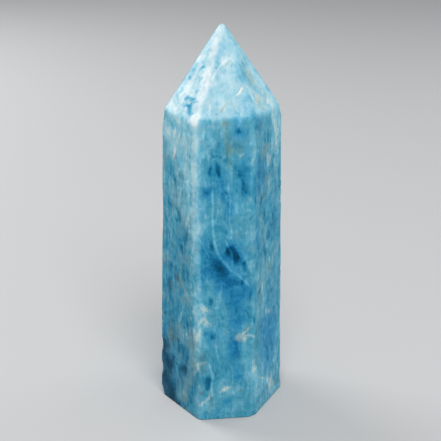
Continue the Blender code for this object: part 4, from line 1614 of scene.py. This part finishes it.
class ApatiteGraph(Graph):
    """The nodes of polished apatite."""

    def __init__(self, material: bpy.types.Material, finish: ApatiteFinish) -> None:
        """Reads the stored fields, makes the grain about 0, and tears the inclusions with it.

        Args:
            material: a material that uses nodes.
            finish: what the stone looks like.
        """
        super().__init__(material)
        self.finish = finish
        self.here = self.millimetres()
        self.grain = {kind: self.noise(self.here, kind.value) - 0.5 for kind in Grain}
        self.stored = {kind: self.attribute(kind.value) for kind in Field}
        # the brightest tip facets, white mostly by painted reflection
        self.bright = self.step(self.stored[BLOOM], finish.bright_ends)
        self.marks = dict(self.stored)  # the same, with torn outlines where the finish has them
        for plan in finish.outlines:
            torn = self.stored[plan.kind] * plan.gain + self._sum(plan.tearing)
            self.marks[plan.kind] = self.step(torn, plan.ends)

    def _sum(self, shares: Shares) -> Wire:
        """The sum of the grain's noises, each times its share."""
        return reduce(add, (self.grain[kind] * share for kind, share in shares))

    def _left(self, losses: Losses) -> Wire:
        """What several inclusions leave: the product of 1 less each one times its share."""
        return reduce(mul, (1.0 - share * self.marks[kind] for kind, share in losses))

    def _wisps(self) -> Wire:
        """Pale wisps, some leaning to the right and some to the left, crowded in some areas.

        Returns:
            How many wisps show, mostly 0 or 1.
        """
        look = self.finish
        found = []
        for plan in look.wisps:
            turned = {
                "Vector": self.shifted(self.here, (plan.offset, *look.wisp_place)),
                "Rotation": (0.0, np.radians(-plan.lean), 0.0),
                "Scale": (plan.scale, plan.scale, plan.scale * look.wisp_stretch),
            }
            peaks = self.noise(self.node("ShaderNodeMapping", {}, turned), look.wisp_peaks)
            areas = self.noise(self.shifted(self.here, (plan.offset, *look.area_place)), look.wisp_areas)
            shown = self.step(peaks, (plan.start, plan.start + look.wisp_rise))
            found.append(shown * self.step(areas, look.area_ends))
        return reduce(add, found)

    def _tone(self) -> Wire:
        """How light the stone is: the grain, wisps, windows and inclusions, the painted light and shade of
        its sides, and last the bloom with its painted reflection and highlights.

        Returns:
            A place on the finish's scale of tones.
        """
        look = self.finish
        bloom = self.marks[BLOOM]
        tone = self._sum(look.cloudy) + self._sum(look.fibrous) * self.marks[Field.FIBRE]
        wisp_tone = look.wisp_tone + look.wisp_tone_in_pale * self.stored[PALE]
        tone = tone + self._wisps() * wisp_tone * (1.0 - look.wisps_lost_in_sheen * bloom)
        tone = tone - self.step(self.noise(self.here, look.windows), look.window_ends) * look.window_tone
        # the painted light and shade of each side, and deep places darker on the painted reflection
        tone = tone + self.marks[Field.PAINTED_SHADING] - self.marks[DEEP] * self.bright * look.bright_deepens
        for plan in look.outlines:
            tone = tone + self.marks[plan.kind] * plan.tone
        contrast = 1.0 - look.bloom_and_sheen_evens * bloom + look.bright_contrast * self.bright
        return tone * contrast + look.middle_tone + bloom * look.bloom_and_sheen_tone + self.bright * look.bright_tone

    def _plain_colour(self, tone: Wire) -> Wire:
        """The stone's colour before cream and stains: its tone's, bluer, fresher, dustier or warmer.

        Args:
            tone: how light the stone is.

        Returns:
            The colour.
        """
        look = self.finish
        bloom, fibre = self.marks[BLOOM], self.marks[Field.FIBRE]
        light = self.step(tone, look.fresh_ends) * (1.0 - bloom)
        bluer = self.marks[AZURE] * self._left(look.azure_losses)
        bluer = bluer * (1.0 - look.azure_lost_in_fibre * fibre * fibre)
        bluer = bluer + self.marks[DEEP] * self.bright * look.azure_in_bright
        dusty = self.step(self.grain[FIBRES] + self.grain[CLOUDS], look.dust_grain_ends)
        dusty = dusty * self.step(fibre, look.dust_fibre_ends) * look.dustiness
        dusty = dusty * self._left(look.dust_losses) * (1.0 - look.dust_lost_in_light * light)
        hue = 0.5 + (self.noise(self.here, look.hues) - 0.5) * (1.0 - look.hues_lost_in_sheen * bloom)

        colour = self.ramp(tone, look.tones)
        colour = self.mix(bluer, colour, self.scaled(colour, look.azure))
        colour = self.mix(light, colour, self.scaled(colour, look.fresh))
        colour = self.mix(dusty, colour, look.dust)
        ends = self.scaled(colour, look.cold), self.scaled(colour, look.warm)
        return self.mix(self.step(hue, look.hue_ends), *ends)

    def _marked_colour(self, colour: Wire) -> Wire:
        """The stone's colour with its cream mineral, faint stains all over and stronger stains.

        Args:
            colour: the colour without them.

        Returns:
            The colour.
        """
        look = self.finish
        creamy = self.shifted(self.scaled(colour, look.cream), look.milk)
        colour = self.mix(self.marks[CREAM] * look.creaminess, colour, creamy)
        sandy = self.step(self.grain[SPECKLE] + self.grain[MOTTLE], look.sand_ends)
        tinge = self.mix(sandy, look.rust, look.sand)
        stained = self.shifted(self.scaled(colour, look.stain), tinge)
        spots = self.step(self.noise(self.here, look.spots), look.spot_ends)
        spots = spots * self._left(look.spot_losses) * look.spot_staining
        colour = self.mix(spots, colour, stained)
        return self.mix(self.marks[TAN] * look.staining, colour, stained)

    def build(self) -> None:
        """Adds the shader with the stone's colour, its gloss and a fine relief."""
        look = self.finish
        pores = self.noise(self.here, look.pores) * look.pore_height
        relief = {
            "Strength": look.relief_strength,
            "Distance": look.relief_height * MM,
            "Height": self._sum(look.relief) + pores + self.marks[VEIN] * look.vein_height,
        }
        self.principled(
            {
                "Base Color": self._marked_colour(self._plain_colour(self._tone())),
                "Roughness": look.roughness + self._sum(look.dulling),
                "Normal": self.node("ShaderNodeBump", {}, relief, "Normal"),
                "IOR": look.ior,
                "Specular IOR Level": look.specular,
                "Metallic": 0.0,
            }
        )


@dataclass(frozen=True)
class FloorFinish:
    """Plain pale matt floor."""

    colour: Colour = (0.50, 0.50, 0.50)
    roughness: float = 0.75
    specular: float = 0.2

    def material(self) -> bpy.types.Material:
        """Builds the material.

        Returns:
            The material.
        """
        made = bpy.data.materials.new("pale_floor")
        made.use_nodes = True
        Graph(made).principled(
            {
                "Base Color": (*self.colour, 1.0),
                "Roughness": self.roughness,
                "Specular IOR Level": self.specular,
            }
        )
        return made


# ---------------------------------------------------------------------------------------------
# Pieces
# ---------------------------------------------------------------------------------------------


@dataclass
class PolishedStone:
    """The wand's visible surface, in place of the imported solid."""

    shape: StoneShape
    finish: ApatiteFinish = ApatiteFinish()
    name: str = "polished_stone"

    def surface(self) -> tuple[Array, list[tuple[int, ...]]]:
        """The worn grid closed by one point under the foot and one at the nose.

        Returns:
            (n, 3) points in millimetres, and the faces as tuples of point numbers.
        """
        grid = self.shape.worn_grid()
        rows, columns, _ = grid.shape
        number = np.arange(rows * columns).reshape(rows, columns)
        after = np.roll(number, -1, axis=1)
        quads = np.stack([number[:-1], after[:-1], after[1:], number[1:]], axis=-1).reshape(-1, 4)
        bottom, top = rows * columns, rows * columns + 1
        below = np.stack([after[0], number[0], np.full(columns, bottom)], axis=-1)
        above = np.stack([number[-1], after[-1], np.full(columns, top)], axis=-1)
        nose = grid[-1].mean(axis=0)
        nose[2] = grid[-1, :, 2].max()
        points = np.concatenate([grid.reshape(-1, 3), [self.shape.foot_middle], [nose]])
        faces = [tuple(face) for block in (quads, below, above) for face in block.tolist()]
        return points, faces

    def build(self) -> bpy.types.Object:
        """Makes the piece, stores its fields and gives it its finish.

        Returns:
            The object.
        """
        points, faces = self.surface()
        mesh = bpy.data.meshes.new(self.name)
        mesh.from_pydata((points * MM).tolist(), [], faces)
        mesh.shade_smooth()
        for kind, values in Inclusions(self.shape).fields(points).items():
            stored = mesh.attributes.new(kind.value, "FLOAT", "POINT")
            stored.data.foreach_set("value", values.astype(np.float32))
        mesh.materials.append(self.finish.material())
        piece = bpy.data.objects.new(self.name, mesh)
        bpy.context.scene.collection.objects.link(piece)
        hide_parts(NODE)
        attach(piece, BODY)
        return piece


@dataclass(frozen=True)
class SoftLight:
    """A square soft light. Place and aim are in millimetres, and its power in watts."""

    name: str
    place: Triple
    aim: Triple
    width: float
    power: float
    colour: Colour = (1.0, 1.0, 1.0)


@dataclass
class Studio:
    """A pale floor, soft lights and the camera."""

    floor_radius: float = 575.0
    floor_segments: int = 128
    floor_finish: FloorFinish = FloorFinish()
    sky: Colour = (0.80, 0.82, 0.85)
    sky_strength: float = 0.50
    lights: Sequence[SoftLight] = (
        SoftLight("front_top_box", (60.0, -330.0, 490.0), (0.0, 0.0, 45.0), 340.0, 2.5),
        SoftLight("left_back_box", (-400.0, 280.0, 250.0), (0.0, 0.0, 60.0), 280.0, 1.9),
        SoftLight("right_back_box", (460.0, 210.0, 160.0), (0.0, 0.0, 50.0), 280.0, 0.75),
    )
    camera_distance: float = 184.8
    camera_pitch: float = 22.78  # degrees below level
    camera_target: Triple = (-0.18, 0.0, 40.2)
    orbit_height: float = 40.0
    lens: float = 74.25
    sensor: float = 36.0

    def floor(self) -> bpy.types.Object:
        """Makes the floor: a flat disc at the height of the stone's foot, round the upright axis.

        Returns:
            The floor.
        """
        turns = np.linspace(0.0, 2.0 * np.pi, self.floor_segments, endpoint=False)
        rim = np.stack([np.cos(turns), np.sin(turns), np.zeros_like(turns)], axis=1)
        mesh = bpy.data.meshes.new("floor")
        mesh.from_pydata((rim * self.floor_radius * MM).tolist(), [], [tuple(range(self.floor_segments))])
        mesh.materials.append(self.floor_finish.material())
        floor = bpy.data.objects.new("floor", mesh)
        bpy.context.scene.collection.objects.link(floor)
        return floor

    def light(self, plan: SoftLight) -> bpy.types.Object:
        """Makes one soft light.

        Args:
            plan: its place, aim, size and power.

        Returns:
            The light.
        """
        lamp = bpy.data.lights.new(plan.name, "AREA")
        lamp.shape = "SQUARE"
        lamp.size = plan.width * MM
        lamp.energy = plan.power
        lamp.color = plan.colour
        made = bpy.data.objects.new(plan.name, lamp)
        made.location = Vector(plan.place) * MM
        made.rotation_euler = (Vector(plan.aim) - Vector(plan.place)).to_track_quat("-Z", "Y").to_euler()
        bpy.context.scene.collection.objects.link(made)
        return made

    def camera(self) -> bpy.types.Object:
        """Makes the camera and points it at the stone.

        Returns:
            The camera.
        """
        pitch = np.radians(self.camera_pitch)
        place = Vector(
            (
                0.0,
                -self.camera_distance * np.cos(pitch),
                self.orbit_height + self.camera_distance * np.sin(pitch),
            )
        )
        lens = bpy.data.cameras.new("camera")
        lens.lens = self.lens
        lens.sensor_width = self.sensor
        lens.clip_start = MM
        made = bpy.data.objects.new("camera", lens)
        made.location = place * MM
        made.rotation_euler = (Vector(self.camera_target) - place).to_track_quat("-Z", "Y").to_euler()
        bpy.context.scene.collection.objects.link(made)
        bpy.context.scene.camera = made
        return made

    def world(self) -> None:
        """Gives the room its even pale light."""
        world = bpy.data.worlds.new("studio")
        world.use_nodes = True
        background = world.node_tree.nodes["Background"]
        background.inputs["Color"].default_value = (*self.sky, 1.0)
        background.inputs["Strength"].default_value = self.sky_strength
        bpy.context.scene.world = world
        bpy.context.scene.view_settings.view_transform = "Standard"

    def build(self) -> Iterable[bpy.types.Object]:
        """Makes the whole studio.

        Returns:
            Its objects.
        """
        self.world()
        return [self.floor(), self.camera(), *(self.light(plan) for plan in self.lights)]


def main() -> None:
    """Builds the stone and the studio, and reports each piece."""
    logging.basicConfig(level=logging.INFO, format="%(message)s")
    stone = PolishedStone(StoneShape(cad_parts[NODE])).build()
    LOG.info("%s: %d points, %d faces", stone.name, len(stone.data.vertices), len(stone.data.polygons))
    for made in Studio().build():
        LOG.info("%s", made.name)


if __name__ == "__main__":
    main()
